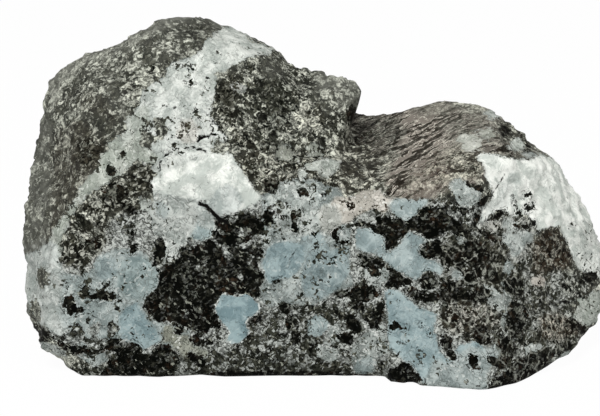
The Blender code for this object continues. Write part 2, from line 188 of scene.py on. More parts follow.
# Ground of each region of the front view, soft at its edges. Values are shares from 0 to 1:
# pale grains, weathered haze, polish, streaks, warm tint, tints of blue, white and green, and a net of
# pale seams in its dark parts
grounds = {
    "lower front": {"pale": 0.8, "polish": 1.0, "outline": [
        20,240, 60,262, 120,215, 160,200, 260,195, 345,195, 480,200, 530,240, 530,395, 60,395, 20,330]},
    "left flank": {"pale": 0.34, "haze": 1.0, "outline": [
        10,200, 24,160, 34,110, 46,84, 60,92, 54,130, 52,165, 54,200, 46,262, 18,272]},
    "left ridge": {"pale": 0.27, "haze": 0.35, "warm": 0.2, "outline": [
        54,200, 52,165, 56,130, 75,118, 103,122, 106,150, 95,175, 75,200, 50,262, 47,235]},
    "dark by the green vein": {"pale": 0.12, "warm": 0.3, "outline": [
        76,140, 90,137, 104,145, 105,156, 96,166, 84,168, 74,158]},
    "upper left slab": {"pale": 0.5, "haze": 0.5, "outline": [
        40,95, 55,66, 80,50, 118,38, 150,20, 180,10, 198,32, 185,50, 160,66, 125,72, 140,90, 132,118,
        105,124, 75,118, 56,130]},
    "dark grains of the slab": {"pale": 0.26, "haze": 0.3, "warm": 0.15, "outline": [
        76,94, 92,90, 104,98, 112,112, 120,118, 110,124, 80,108]},
    "pale grains of the slab": {"pale": 0.64, "haze": 0.3, "outline": [
        62,86, 76,78, 90,84, 86,94, 74,98, 64,96]},
    "olive grains of the slab": {"pale": 0.55, "haze": 0.2, "green": 0.5, "outline": [
        88,122, 100,117, 111,126, 108,136, 96,138]},
    "pale edge of the vein": {"pale": 0.74, "haze": 0.2, "outline": [
        118,84, 124,66, 162,72, 143,96, 137,112, 128,112]},
    "crown": {"pale": 0.37, "haze": 0.5, "outline": [
        150,30, 160,12, 190,5, 225,18, 222,32, 205,42, 190,56, 170,65]},
    # haze along the top edges: partly dust and partly painted light, lighter where the edges face up and
    # away
    "dusty and lit top edge": {"pale": 0.6, "haze": 1.5, "outline": [
        46,92, 56,64, 78,44, 122,34, 150,14, 188,4, 226,20, 226,30, 208,24, 186,22, 164,28, 126,48,
        100,56, 78,66, 62,84, 56,104]},
    "knob": {"pale": 0.41, "haze": 0.05, "outline": [
        258,38, 285,50, 300,62, 345,70, 366,92, 345,145, 330,158, 300,152, 260,148, 235,152, 215,130,
        212,105, 248,64]},
    "knob tip": {"pale": 0.62, "haze": 1.1, "outline": [312,66, 345,70, 368,90, 356,114, 335,108, 316,92]},
    "pale middle of the knob": {"pale": 0.7, "haze": 0.5, "outline": [
        314,92, 322,89, 334,96, 338,110, 326,116, 314,112, 310,102]},
    "pale foot of the knob": {"pale": 0.62, "haze": 0.1, "outline": [
        268,150, 280,140, 300,144, 318,138, 338,140, 348,156, 342,178, 320,182, 300,170, 280,162]},
    "dark edge of the knob": {"pale": 0.24, "warm": 0.15, "outline": [
        232,126, 242,130, 268,150, 258,155, 244,149, 234,140]},
    "dark top of the knob": {"pale": 0.14, "outline": [
        256,86, 268,80, 283,84, 298,110, 288,122, 276,130, 264,126, 262,106]},
    "pale grains right of it": {"pale": 0.56, "warm": 0.15, "outline": [
        298,108, 318,104, 326,118, 318,132, 300,130, 294,118]},
    "bench": {"pale": 0.33, "warm": 0.15, "outline": [
        235,156, 262,148, 335,158, 347,196, 330,192, 312,180, 290,179, 276,194, 258,191, 245,175]},
    "gully side": {"pale": 0.48, "haze": 0.2, "warm": 0.2, "outline": [
        335,155, 350,112, 375,112, 402,150, 392,180, 345,198, 338,175]},
    "streaked slope": {"pale": 0.44, "haze": 0.1, "streak": 1.0, "warm": 0.35, "outline": [
        372,106, 412,103, 440,95, 455,120, 462,150, 458,178, 430,200, 392,196, 384,180, 398,150]},
    "dark side of the slope": {"pale": 0.16, "haze": 0.05, "streak": 0.38, "warm": 0.15, "outline": [
        352,119, 372,112, 398,118, 406,130, 398,148, 384,158, 372,153, 360,138, 352,132]},
    "plateau": {"pale": 0.42, "haze": 0.35, "streak": 0.6, "warm": 0.2, "outline": [
        430,98, 470,96, 510,112, 548,154, 520,158, 480,155, 455,150]},
    "pinkish grey beside the slope": {"pale": 0.62, "haze": 0.45, "streak": 0.45, "warm": 0.5, "outline": [
        398,190, 410,172, 436,152, 456,148, 484,156, 486,178, 470,186, 446,190, 424,200, 400,198]},
    "red-brown beside the slope": {"pale": 0.3, "warm": 0.7, "streak": 0.3, "outline": [
        430,164, 444,159, 456,166, 448,178, 432,178]},
    "hazy top of the hump": {"pale": 0.42, "haze": 1.0, "streak": 0.4, "warm": 0.25, "outline": [
        404,108, 424,98, 448,92, 472,97, 500,108, 502,118, 480,116, 462,110, 444,112, 424,118]},
    "pale top of the hump": {"pale": 0.8, "haze": 0.8, "warm": 0.15, "outline": [
        448,100, 466,96, 486,106, 490,114, 476,114, 452,108]},
    "dark right of the plateau": {"pale": 0.42, "haze": 0.3, "warm": 0.15, "outline": [
        496,122, 510,118, 524,130, 538,148, 532,158, 516,152, 500,140]},
    "rim right of the plateau": {"pale": 0.75, "haze": 1.1, "outline": [
        522,124, 531,130, 545,150, 538,153, 529,139]},
    "red grains under the plateau": {"pale": 0.5, "haze": 0.2, "warm": 0.4, "outline": [
        446,150, 480,152, 486,162, 482,178, 450,180]},
    "lower left flank": {"pale": 0.4, "haze": 1.0, "polish": 0.5, "outline": [
        10,245, 45,236, 56,250, 62,275, 62,325, 45,335, 30,335, 14,290]},
    "left end of the base": {"pale": 0.88, "haze": 0.15, "white": 0.3, "outline": [
        30,345, 45,334, 80,352, 102,370, 80,382, 50,365]},
    "dark grains on the left": {"pale": 0.33, "warm": 0.12, "polish": 0.3, "outline": [
        60,250, 68,220, 82,202, 98,196, 108,204, 110,216, 104,228, 110,242, 100,256, 84,268, 62,268]},
    "grey grains beside the vein, low": {"pale": 0.6, "outline": [72,214, 84,208, 92,216, 88,228, 74,230]},
    "dark bits low on the left": {"pale": 0.36, "polish": 0.6, "outline": [
        64,320, 80,318, 100,320, 118,318, 120,334, 112,346, 90,350, 70,346]},
    "grains at the foot, middle": {"pale": 0.44, "polish": 0.7, "outline": [
        252,306, 330,298, 348,305, 352,320, 342,335, 345,350, 378,352, 388,374, 300,384, 212,384,
        200,356, 246,346]},
    "grains at the foot, left": {"pale": 0.42, "polish": 0.4, "outline": [
        66,372, 85,358, 108,350, 120,384, 72,384]},
    "foot strip": {"pale": 0.28, "polish": 0.6, "outline": [110,354, 300,352, 386,362, 386,388, 110,388]},
    "grains on the right": {"pale": 0.33, "polish": 0.6, "warm": 0.05, "net": 0.6, "outline": [
        444,236, 476,225, 530,240, 566,272, 590,274, 592,300, 566,305, 590,330, 520,392, 488,394,
        498,360, 480,342, 455,338, 436,318]},
    "broken ground under the right white": {"pale": 0.6, "polish": 0.6, "warm": 0.12, "outline": [
        476,226, 484,214, 500,206, 520,214, 536,226, 524,262, 508,262, 500,244, 484,242]},
    "brown grains": {"pale": 0.16, "polish": 0.5, "warm": 0.6, "outline": [
        532,243, 547,229, 557,228, 566,241, 573,258, 568,268, 548,270, 540,275, 533,268]},
    "red-brown grains, right foot": {"pale": 0.26, "warm": 0.6, "polish": 0.5, "outline": [
        540,318, 560,312, 580,318, 582,332, 560,342, 542,336]},
    "pale specks of the right edge": {"pale": 0.58, "polish": 0.3, "outline": [
        562,280, 576,278, 586,290, 574,299, 562,292]},
    "spot of the left flank, upper": {"pale": 0.45, "haze": 0.5, "outline": [
        37,269, 43,266, 49,273, 48,284, 42,290, 37,282]},
    "spot of the left flank, lower": {"pale": 0.45, "haze": 0.5, "outline": [
        29,302, 36,299, 41,307, 41,320, 36,328, 31,322]},
    "oval in the vein": {"pale": 0.55, "haze": 0.4, "outline": [
        140,138, 144,132, 151,132, 157,138, 155,146, 147,149, 140,144]},
    "dark patch in the vein": {"pale": 0.5, "haze": 0.25, "outline": [
        149,120, 156,116, 162,120, 168,131, 164,141, 157,141, 152,133]},
    "dark by the white top": {"pale": 0.13, "warm": 0.1, "outline": [
        228,72, 238,76, 240,90, 238,110, 232,122, 222,116, 216,100, 216,88]},
    "smooth dark of the knob": {"pale": 0.06, "haze": 0.5, "outline": [
        260,60, 268,57, 280,61, 284,72, 277,80, 266,78, 261,70]},
    "dark crown": {"pale": 0.16, "haze": 0.25, "outline": [188,20, 206,20, 214,30, 206,39, 195,41, 185,32]},
    "dark grains left of the block": {"pale": 0.22, "polish": 0.3, "warm": 0.12, "outline": [
        90,196, 104,184, 126,176, 136,163, 146,160, 155,172, 154,184, 134,203, 133,214, 100,206]},
    "pinkish grains": {"pale": 0.44, "polish": 0.6, "warm": 0.35, "net": 0.8, "outline": [
        444,305, 470,300, 500,312, 500,326, 452,334, 440,322]},
    "dark ground over the right": {"pale": 0.18, "polish": 0.6, "warm": 0.15, "net": 0.9, "outline": [
        470,238, 500,236, 508,256, 500,290, 472,284]},
}

# Windows of pectolite in the basalt, with hard, ragged edges. Values are shares from 0 to 1. Two by the
# white block's foot are painted shade, one is partly so, and one at the lower right is a plain grey patch
windows = {
    "white block": {"white": 0.93, "pale": 1.04, "rim": 0.4, "outline": [
        156,172, 166,158, 176,151, 200,149, 213,153, 226,152, 234,156, 246,177, 262,197, 256,204,
        247,207, 240,212, 220,218, 203,204, 192,206, 178,206, 164,202, 154,194, 152,182]},
    # blue pectolite tint that is also painted shade, standing for the shadow below the white block's lower
    # edge
    "blue and painted shade at the block's foot": {"white": 0.6, "blue": 0.65, "pale": 1.04, "outline": [
        205,204, 212,197, 217,188, 228,183, 238,190, 244,200, 239,211, 220,217]},
    "white vein": {"white": 0.6, "pale": 0.86, "outline": [
        165,76, 170,65, 181,59, 193,56, 206,46, 216,60, 214,74, 216,94, 209,114, 214,122, 228,138,
        222,143, 214,141, 210,158, 180,164, 160,178, 150,166, 156,158, 142,140, 146,130, 138,126,
        133,112, 144,90]},
    "upper part of the vein": {"white": 0.68, "pale": 0.98, "outline": [
        165,77, 171,66, 181,60, 193,57, 209,45, 214,56, 211,70, 217,80, 216,95, 210,104, 198,104,
        186,96, 172,92, 156,90, 154,84]},
    "beige in the vein": {"warm": 0.45, "white": 0.45, "pale": 0.84, "outline": [
        180,122, 192,119, 199,128, 196,140, 184,144, 176,136]},
    "white top": {"white": 0.66, "pale": 0.98, "green": 0.15, "outline": [
        222,28, 232,28, 242,32, 252,40, 264,45, 274,47, 272,53, 250,58, 239,62, 228,69, 217,73, 212,82,
        205,84, 199,74, 204,58, 200,50, 206,42]},
    "green vein": {"green": 0.55, "white": 0.38, "pale": 0.87, "outline": [
        48,268, 40,256, 66,212, 74,204, 80,189, 99,165, 102,156, 107,148, 126,130, 129,114, 142,107,
        150,114, 148,126, 143,132, 145,147, 160,157, 156,165, 136,160, 124,174, 108,182, 102,187,
        86,196, 68,222, 63,236, 60,262]},
    "ledges under the block": {"white": 0.34, "pale": 0.95, "rim": 0.6, "outline": [
        154,190, 182,198, 206,200, 206,212, 194,236, 182,246, 175,262, 165,266, 160,250, 165,240,
        152,228, 150,214]},
    # painted shade: grey-blue where the ledges under the white block lie in shade
    "painted shade in the ledges": {"white": 0.05, "blue": 0.2, "pale": 0.95, "outline": [
        154,202, 163,201, 170,211, 165,220, 156,216]},
    # painted shade: a blue-grey tint on a small broken facet beside the crack that lies in shade
    "blue-grey painted shade beside the crack": {"blue": 0.7, "green": 0.2, "white": 0.1, "outline": [
        201,212, 206,213, 213,232, 210,238, 202,241, 194,241, 190,236, 196,226]},
    "left ground": {"blue": 0.4, "pale": 0.91, "white": 0.18, "outline": [
        56,262, 64,272, 80,276, 93,268, 98,256, 112,250, 128,248, 142,250, 152,264, 160,270, 158,288,
        148,296, 143,306, 152,320, 190,330, 190,342, 178,350, 158,344, 142,348, 120,340, 82,350, 62,334,
        44,322, 40,290]},
    "smooth strip of the left edge": {"white": 0.44, "blue": 0.25, "pale": 0.97, "outline": [
        50,240, 57,244, 62,262, 59,318, 67,332, 60,338, 40,324, 30,310, 22,290, 20,264, 26,254, 40,250]},
    "left blue, upper": {"blue": 0.6, "white": 0.1, "outline": [
        94,264, 99,257, 108,254, 116,260, 119,270, 113,279, 103,280, 95,275]},
    "left blue, middle": {"blue": 0.55, "green": 0.2, "outline": [
        120,262, 130,257, 142,256, 151,262, 158,271, 157,286, 150,294, 140,299, 126,298, 118,286]},
    "left blue, lower": {"blue": 0.85, "outline": [
        119,316, 127,307, 137,302, 147,320, 156,330, 162,340, 144,351, 134,343, 122,338, 116,327]},
    "beige patch": {"green": 0.5, "warm": 0.18, "pale": 0.93, "white": 0.0, "outline": [
        163,325, 172,325, 177,334, 188,334, 194,346, 211,351, 205,358, 197,357, 189,351, 185,359,
        169,344, 162,341]},
    "pale ground, middle": {"pale": 0.83, "white": 0.16, "blue": 0.22, "outline": [
        262,196, 280,182, 300,178, 320,182, 337,188, 346,198, 352,222, 350,244, 352,286, 330,294,
        322,304, 284,304, 268,307, 258,299, 266,274, 260,266, 262,248]},
    "round blue window": {"blue": 1.0, "pale": 1.04, "rim": 1.0, "outline": [
        214,309, 222,293, 238,296, 247,292, 259,303, 260,309, 256,315, 249,318, 246,323, 247,328,
        251,332, 246,339, 240,344, 232,344, 225,339, 230,332, 219,320]},
    "blue window with streaks": {"blue": 0.82, "pale": 1.02, "rim": 0.4, "outline": [
        266,250, 274,243, 288,241, 300,243, 307,248, 304,262, 298,272, 290,278, 280,279, 270,284,
        265,277, 262,264]},
    "bluish ground": {"blue": 0.6, "pale": 0.9, "outline": [
        300,236, 322,232, 330,250, 348,246, 350,272, 338,290, 318,300, 304,296, 300,276, 306,260]},
    "bluish spot at the foot": {"blue": 0.55, "pale": 0.9, "outline": [
        308,319, 318,315, 328,320, 330,330, 320,338, 308,335]},
    "pinkish ground": {"warm": 0.75, "white": 0.42, "pale": 0.95, "outline": [
        336,196, 352,198, 362,190, 378,190, 394,200, 391,208, 384,213, 374,208, 356,216, 350,223,
        342,224, 334,214, 330,204]},
    "whitish left of the pinkish": {"warm": 0.3, "white": 0.48, "pale": 0.98, "outline": [
        316,212, 324,204, 336,206, 342,216, 340,228, 330,236, 320,230]},
    "blue under the slope": {"blue": 0.85, "white": 0.3, "outline": [
        389,204, 395,198, 416,200, 426,198, 433,200, 420,210, 414,217, 407,222, 401,219, 390,210]},
    "blue left of the long mass": {"blue": 0.8, "pale": 1.0, "rim": 0.7, "white": 0.15, "outline": [
        357,229, 366,226, 373,229, 385,238, 386,247, 389,252, 398,246, 409,231, 420,235, 427,240,
        420,245, 419,252, 424,258, 436,261, 444,268, 440,276, 432,271, 424,272, 419,280, 413,280,
        404,274, 394,270, 376,254, 364,252, 356,248, 353,238]},
    "pale between the chains": {"blue": 0.1, "white": 0.3, "rim": 0.6, "outline": [
        366,268, 384,266, 391,271, 388,282, 380,288, 370,284, 366,276]},
    "big blue window": {"blue": 0.95, "white": 0.08, "pale": 0.99, "rim": 0.7, "outline": [
        384,290, 391,288, 399,291, 421,308, 438,314, 433,330, 438,338, 440,350, 447,358, 456,361,
        455,352, 458,343, 468,344, 475,338, 482,345, 498,353, 500,362, 494,366, 484,358, 478,370,
        482,380, 490,384, 482,396, 440,392, 424,386, 411,364, 403,360, 397,354, 389,349, 386,339,
        388,327]},
    "grey foot of the big blue": {"blue": 0.5, "white": 0.16, "warm": 0.1, "pale": 0.97, "outline": [
        437,358, 448,364, 458,353, 470,346, 484,350, 496,345, 504,350, 494,362, 486,374, 486,394,
        428,394, 424,378]},
    "pale foot beside the big blue": {"white": 0.1, "pale": 0.8, "outline": [
        352,350, 364,332, 384,326, 388,340, 388,352, 378,356, 377,366, 368,373, 356,374, 350,362]},
    "bluish oval at the foot": {"blue": 0.45, "white": 0.1, "pale": 0.97, "outline": [
        354,364, 360,358, 370,356, 376,362, 374,371, 364,375, 355,372]},
    "pale right of the big blue": {"white": 0.15, "pale": 0.92, "outline": [
        484,284, 492,286, 500,292, 505,304, 502,312, 492,308, 486,298]},
    "pale spot, upper right": {"blue": 0.2, "white": 0.32, "outline": [
        450,180, 461,177, 470,185, 480,190, 483,196, 478,203, 469,206, 459,207, 454,192, 449,187]},
    "pale spot in the dark, upper": {"white": 0.3, "blue": 0.15, "outline": [
        502,234, 526,230, 535,234, 533,243, 524,246, 516,257, 511,255, 507,246, 503,241]},
    "pale spot in the dark, middle": {"blue": 0.2, "white": 0.1, "outline": [
        503,263, 510,259, 514,268, 510,276, 504,272]},
    "pale spot in the dark, lower": {"blue": 0.15, "white": 0.1, "outline": [
        449,272, 457,269, 464,273, 467,280, 460,282, 451,281]},
    "plateau patch": {"white": 0.55, "green": 0.7, "pale": 1.04, "blue": 0.0, "warm": 0.3, "outline": [
        456,139, 462,134, 472,132, 480,137, 482,145, 476,151, 468,153, 461,149]},
    "plateau oval": {"green": 0.3, "white": 0.32, "pale": 1.04, "outline": [
        507,144, 512,139, 519,138, 525,143, 523,149, 516,152, 509,150]},
    "plateau chip": {"green": 0.5, "white": 0.3, "pale": 1.0, "warm": 0.2, "outline": [
        478,130, 486,127, 494,131, 497,137, 490,140, 482,137]},
    "plateau chip, small": {"white": 0.3, "pale": 1.0, "outline": [
        522,153, 530,151, 537,154, 534,158, 526,158]},
    "right white mass": {"white": 1.0, "pale": 1.04, "rim": 0.5, "outline": [
        477,153, 484,152, 496,154, 516,160, 530,160, 540,154, 552,158, 584,196, 598,216, 612,240,
        612,275, 598,276, 586,273, 577,267, 572,258, 569,246, 560,229, 551,226, 543,230, 536,231,
        533,222, 526,215, 518,217, 504,211, 496,212, 484,221, 480,222, 482,211, 494,195, 492,187,
        486,180]},
    "blue edge of the right white mass": {"blue": 0.75, "white": 0.85, "pale": 1.02, "outline": [
        503,180, 510,172, 517,171, 520,182, 518,194, 514,204, 506,210, 497,212, 488,217, 484,214,
        495,197]},
    "fragment under the right white, left": {"warm": 0.3, "white": 0.25, "rim": 0.4, "outline": [
        484,223, 490,220, 498,221, 501,227, 495,232, 487,230]},
    "fragment under the right white, right": {"blue": 0.15, "white": 0.4, "rim": 0.4, "outline": [
        503,218, 509,217, 518,224, 517,230, 509,232, 503,227]},
    "greyer foot of the right white mass": {"white": 0.7, "green": 0.12, "outline": [
        568,222, 586,220, 612,232, 612,276, 598,277, 584,273, 574,262]},
    "lower right chunk": {"white": 0.34, "green": 0.4, "pale": 0.97, "outline": [
        612,284, 598,289, 588,296, 574,300, 564,306, 562,313, 586,326, 596,322, 612,306]},
    "beige under the brown spot": {"warm": 0.6, "white": 0.2, "pale": 0.9, "outline": [
        531,278, 540,275, 547,279, 544,287, 532,286]},
    "bench white": {"white": 0.42, "green": 0.35, "pale": 0.92, "outline": [
        305,161, 312,163, 318,159, 330,158, 340,162, 338,170, 331,174, 328,180, 321,177, 316,171,
        309,171, 305,167]},
    "pale spot of the knob's foot": {"white": 0.2, "green": 0.5, "pale": 0.86, "warm": 0.15, "outline": [
        276,150, 282,144, 290,147, 300,156, 302,164, 281,159, 276,155]},
    "bench oval": {"white": 0.25, "green": 0.2, "outline": [
        299,170, 304,168, 308,173, 305,179, 300,178, 297,174]},
    # a plain grey patch by the lower right edge of the base
    "grey patch at the lower right edge": {"pale": 1.0, "outline": [552,361, 568,349, 574,352, 568,362, 556,367]},
    "pale facet, left end of the base": {"white": 0.25, "pale": 0.93, "outline": [
        38,341, 46,340, 68,353, 66,358, 54,354, 44,348]},
    "pale bits at the foot, left": {"pale": 0.95, "white": 0.15, "blue": 0.2, "outline": [
        76,356, 84,352, 94,350, 106,354, 108,362, 98,366, 86,362]},
    "pale at the knob's foot, right": {"white": 0.2, "green": 0.5, "pale": 0.86, "warm": 0.1, "outline": [
        306,146, 314,143, 323,148, 324,155, 314,157, 306,153]},
    "pale knob of the plateau": {"green": 0.1, "white": 0.35, "pale": 0.97, "outline": [
        484,112, 490,108, 498,110, 501,117, 494,120, 486,118]},
    "pale at the foot, middle": {"white": 0.15, "pale": 0.9, "outline": [
        316,346, 326,343, 337,348, 338,358, 328,362, 318,358]},
    "pale at the right foot": {"white": 0.12, "pale": 0.9, "outline": [
        524,348, 532,343, 542,346, 542,354, 532,358, 525,355]},
    "pale over the foot, middle": {"white": 0.1, "pale": 0.86, "outline": [
        328,326, 338,324, 343,332, 340,342, 332,344, 326,336]},
    "cream grains of the knob": {"warm": 0.2, "white": 0.25, "pale": 0.78, "outline": [
        231,84, 238,81, 246,85, 247,91, 240,94, 233,91]},
    "pale beside the ring": {"white": 0.3, "pale": 1.0, "outline": [
        274,219, 284,216, 292,222, 291,231, 282,233, 275,227]},
    "pale left of the block's foot": {"white": 0.2, "green": 0.2, "pale": 0.92, "outline": [
        138,199, 146,197, 151,203, 148,211, 140,209]},
    "pale in the long mass": {"white": 0.1, "pale": 0.9, "outline": [455,237, 466,235, 469,241, 461,246]},
    "whitish over the middle": {"white": 0.34, "blue": 0.12, "pale": 0.92, "outline": [
        267,198, 280,186, 298,182, 312,186, 318,204, 320,230, 300,238, 282,230, 270,216]},
    "pale between vein and slab": {"white": 0.4, "green": 0.4, "pale": 0.95, "outline": [
        116,140, 124,130, 128,116, 134,108, 146,104, 150,108, 147,120, 143,128, 136,132, 130,140,
        122,146]},
    "clean below the crack": {"white": 0.42, "blue": 0.25, "pale": 1.02, "outline": [
        196,206, 204,207, 213,216, 216,224, 210,230, 200,226]},
    "pale streak on the right": {"white": 0.08, "pale": 0.86, "outline": [
        501,280, 508,278, 513,284, 511,300, 508,312, 506,328, 500,328, 503,296]},
}

# Masses of nearly black basalt, with hard, ragged edges. A few are painted shade instead: along the foot,
# along the lower right edge, and in the notch and gully under the knob tip
darkMasses = {
    "big patch": [
        183,246, 192,249, 200,243, 210,239, 222,247, 240,248, 262,247, 263,254, 256,259, 258,266,
        263,273, 265,279, 258,287, 262,296, 256,300, 247,294, 240,293, 234,296, 228,293, 222,293,
        214,303, 214,310, 222,327, 211,328, 207,333, 197,333, 178,323, 157,321, 150,316, 143,307,
        146,296, 153,293, 158,287, 158,275, 163,266, 178,260],
    "band under the crack": [
        214,223, 228,217, 246,213, 254,213, 262,222, 264,229, 250,240, 240,245, 232,247, 222,246,
        214,240, 212,232, 217,228],
    "ring right of the block": [
        264,212, 269,206, 275,204, 278,200, 282,200, 279,207, 273,212, 272,219, 280,217, 284,219,
        276,224, 266,223, 263,216],
    "specks right of the ring": [292,210, 297,212, 300,209, 301,216, 297,222, 299,230, 294,233, 289,216],
    "long mass": [
        390,217, 394,219, 400,217, 405,222, 420,214, 421,207, 427,205, 432,208, 434,203, 440,207,
        456,206, 466,208, 471,212, 476,222, 474,232, 466,240, 458,236, 450,229, 444,233, 441,238,
        433,240, 415,232, 409,231, 402,236, 397,245, 389,250, 385,248, 385,238, 375,224, 377,218],
    "long mass, lower": [
        419,251, 432,240, 441,240, 446,246, 476,238, 484,245, 490,256, 488,268, 478,280, 468,282,
        460,272, 450,263, 442,266, 438,257, 429,260, 422,257],
    "string left of the long mass": [
        331,232, 336,227, 344,226, 352,222, 366,222, 374,224, 384,234, 380,235, 371,227, 358,226,
        339,231, 336,236, 340,240, 350,240, 349,243, 341,244, 333,239],
    "round spot": [420,281, 422,274, 428,271, 434,274, 437,281, 436,289, 430,292, 423,290],
    "under the round spot": [404,288, 412,287, 428,293, 437,292, 441,298, 436,303, 428,303, 409,297],
    "right of the round spot": [
        440,283, 450,280, 460,281, 470,287, 478,285, 488,290, 492,296, 484,302, 470,300, 458,303,
        446,302, 440,296],
    "chain, middle": [384,283, 395,274, 400,272, 404,277, 414,281, 412,286, 403,286, 397,289, 384,286],
    "chain, upper": [
        357,253, 372,258, 380,258, 386,265, 399,273, 394,274, 380,265, 374,263, 368,268, 361,267,
        361,260],
    "chain, ring": [369,270, 373,265, 379,267, 381,273, 378,277, 370,277],
    "chain, left": [
        351,289, 356,284, 361,285, 361,279, 366,279, 369,286, 378,286, 383,291, 380,296, 366,302,
        357,300, 351,296],
    "chain, tail": [333,294, 340,290, 349,290, 351,296, 344,299, 337,298],
    "blob, low middle": [345,317, 352,313, 357,320, 363,322, 365,328, 361,334, 354,333, 347,328],
    "blob by the big blue": [364,318, 381,303, 385,306, 384,315, 377,328, 370,328, 365,323],
    "blob under the low middle": [341,334, 348,331, 353,338, 352,345, 345,345, 341,340],
    "hook under the round blue": [246,324, 250,318, 256,316, 262,316, 264,320, 252,327, 247,327],
    "dot under the round blue": [246,336, 250,334, 252,339, 249,344, 246,341],
    "blob at the foot": [291,331, 297,327, 301,335, 299,344, 295,347, 290,341],
    "blob right of the round blue": [278,306, 284,302, 290,304, 291,312, 286,316, 279,312],
    "oval in the beige": [173,330, 178,326, 185,328, 190,332, 183,334, 175,334],
    "blob right of the beige": [188,337, 195,335, 202,339, 200,346, 193,345],
    "dot right of the beige": [205,337, 211,338, 214,344, 208,347, 204,343],
    "foot, left": [
        118,356, 115,350, 124,347, 128,342, 134,342, 141,347, 142,353, 150,355, 155,347, 160,343,
        168,345, 176,350, 180,358, 172,380, 150,384, 100,380, 103,366],
    "dot above the foot": [104,345, 108,339, 117,337, 121,342, 114,346, 112,352, 106,350],
    "lower left corner": [33,322, 44,327, 56,338, 50,343, 42,341, 34,343, 30,332],
    "edge of the left base": [53,337, 70,344, 104,349, 100,354, 86,355, 70,353, 60,347],
    # painted shadow: a thin black strip along the middle of the foot, where the base lies in shade
    "shadowed foot": [206,373, 240,371, 300,371, 380,375, 380,382, 206,382],
    "specks, far left": [63,298, 71,294, 74,298, 73,303, 78,308, 83,306, 85,311, 77,313, 70,317, 62,305],
    "specks, left": [
        79,291, 84,287, 89,289, 92,294, 103,288, 102,283, 110,281, 112,285, 105,290, 107,294, 113,291,
        117,295, 115,301, 107,301, 100,299, 94,300, 80,297],
    "patch above the big one": [154,240, 161,236, 167,248, 162,263, 152,267, 155,252],
    "dot in the ledges": [188,238, 192,237, 194,240, 190,242],
    "dot on the left": [130,231, 136,230, 137,236, 131,237],
    "oval on the left": [129,245, 137,243, 139,250, 131,253],
    "right edge, lower": [566,320, 573,318, 580,324, 590,328, 586,336, 567,327],
    "right edge, upper": [580,275, 588,272, 597,272, 598,279, 590,283, 583,281],
    # painted shade: black along the lower right edge of the foot, where its chamfer lies in shadow
    "right foot": [
        515,362, 530,352, 560,346, 576,338, 571,349, 556,356, 545,372, 510,388, 495,392, 486,392,
        492,380, 505,372],
    "spot right of the big blue": [486,356, 494,355, 504,362, 506,368, 496,368, 488,362],
    "spot in the big blue's tail": [467,356, 473,353, 479,357, 478,365, 480,371, 471,369],
    "edge of the big blue, upper": [440,337, 447,334, 452,340, 451,348, 445,349, 440,344],
    "edge of the big blue, lower": [446,351, 453,350, 457,356, 455,361, 448,360],
    "streak in the big blue": [390,325, 396,321, 402,326, 408,326, 408,329, 400,330, 395,327, 391,332],
    "dot in the big blue": [419,322, 422,322, 424,326, 420,326],
    "dash in the big blue": [426,329, 430,330, 431,334, 428,333],
    "under the big blue": [
        388,369, 402,364, 411,365, 413,372, 421,377, 422,383, 412,382, 404,386, 394,386, 386,378],
    "eye in the streaked blue": [271,281, 276,279, 282,280, 281,283, 275,284],
    "dark right of the middle": [503,280, 512,276, 522,280, 525,292, 521,300, 510,298, 505,291],
    "hook in the right white": [514,197, 517,197, 519,208, 523,215, 519,218, 516,212],
    "ring in the right white": [524,203, 530,206, 533,200, 535,206, 532,212, 525,210],
    "dot in the right white": [525,193, 529,192, 530,197, 526,198],
    "beads, upper": [465,182, 474,182, 481,187, 487,189, 485,193, 469,187],
    "beads, middle": [485,194, 492,193, 484,206, 477,208, 472,212, 470,208, 478,203],
    "beads, lower": [471,223, 476,214, 481,212, 479,220, 474,225],
    "brown mark under the slope": [387,191, 400,180, 407,178, 403,185, 398,190, 400,197, 394,197, 389,195],
    # painted shadow: black in the recess under the knob tip, where it lies in shade
    "gully": [346,110, 352,107, 362,112, 360,120, 354,127, 348,126],
    # painted shade: black lower down the gully beside the knob
    "gully, lower": [356,138, 364,135, 368,140, 362,147, 356,146],
    "dark between the plateau chips": [481,142, 504,148, 516,154, 508,157, 482,149],
    "dark beside the plateau oval": [498,128, 505,124, 511,130, 506,138, 500,136],
    "dark edge of the plateau": [519,131, 522,133, 532,150, 529,150, 523,142],
    "dark corner under the right white": [488,221, 492,215, 499,210, 506,209, 503,214, 493,220],
    "dark under the right white": [478,230, 496,233, 503,238, 500,243, 488,241],
    "dark curl under the right white": [508,221, 514,224, 526,225, 533,221, 534,225, 525,228, 514,227],
    "spot in the green vein": [105,168, 110,165, 116,168, 115,175, 108,177],
    "spot in the green vein, upper": [119,150, 125,149, 127,155, 123,160, 119,157],
    "spot in the vein, upper": [149,65, 155,66, 155,71, 150,71],
    "spot in the vein, lower": [187,82, 191,79, 194,83, 190,87],
    "underside of the bench": [262,178, 279,178, 279,186, 275,194, 266,193, 262,187],
    "dark right of the middle, upper": [478,262, 488,264, 498,272, 500,280, 492,282, 482,276],
    "dark right of the middle, lower": [508,304, 518,302, 528,308, 526,326, 520,340, 510,338, 507,316],
    "dark beside the big blue's tail": [498,340, 508,338, 516,346, 514,356, 504,354, 497,348],
    "eye over the pale ground": [297,190, 303,187, 310,191, 308,197, 300,196],
    "foot, left end": [190,352, 200,356, 206,361, 202,367, 194,364, 188,357],
    "dark beside the green vein, left": [102,190, 110,183, 121,184, 129,192, 124,200, 114,204, 104,200],
    "dark beside the green vein, right": [117,200, 128,201, 136,209, 134,216, 124,209],
    "dark over the left ground": [86,238, 96,236, 102,243, 97,250, 88,248],
    "blob over the foot": [284,318, 292,315, 298,322, 294,330, 286,328],
    "blob over the low middle": [346,302, 356,300, 364,304, 362,312, 352,312],
    "dark over the right foot": [503,332, 510,344, 515,356, 508,366, 499,360, 497,346],
    "blob above the tail": [473,326, 483,323, 491,331, 489,343, 480,346, 472,338],
    "blob right of the middle": [449,312, 456,309, 460,315, 457,323, 450,322],
}

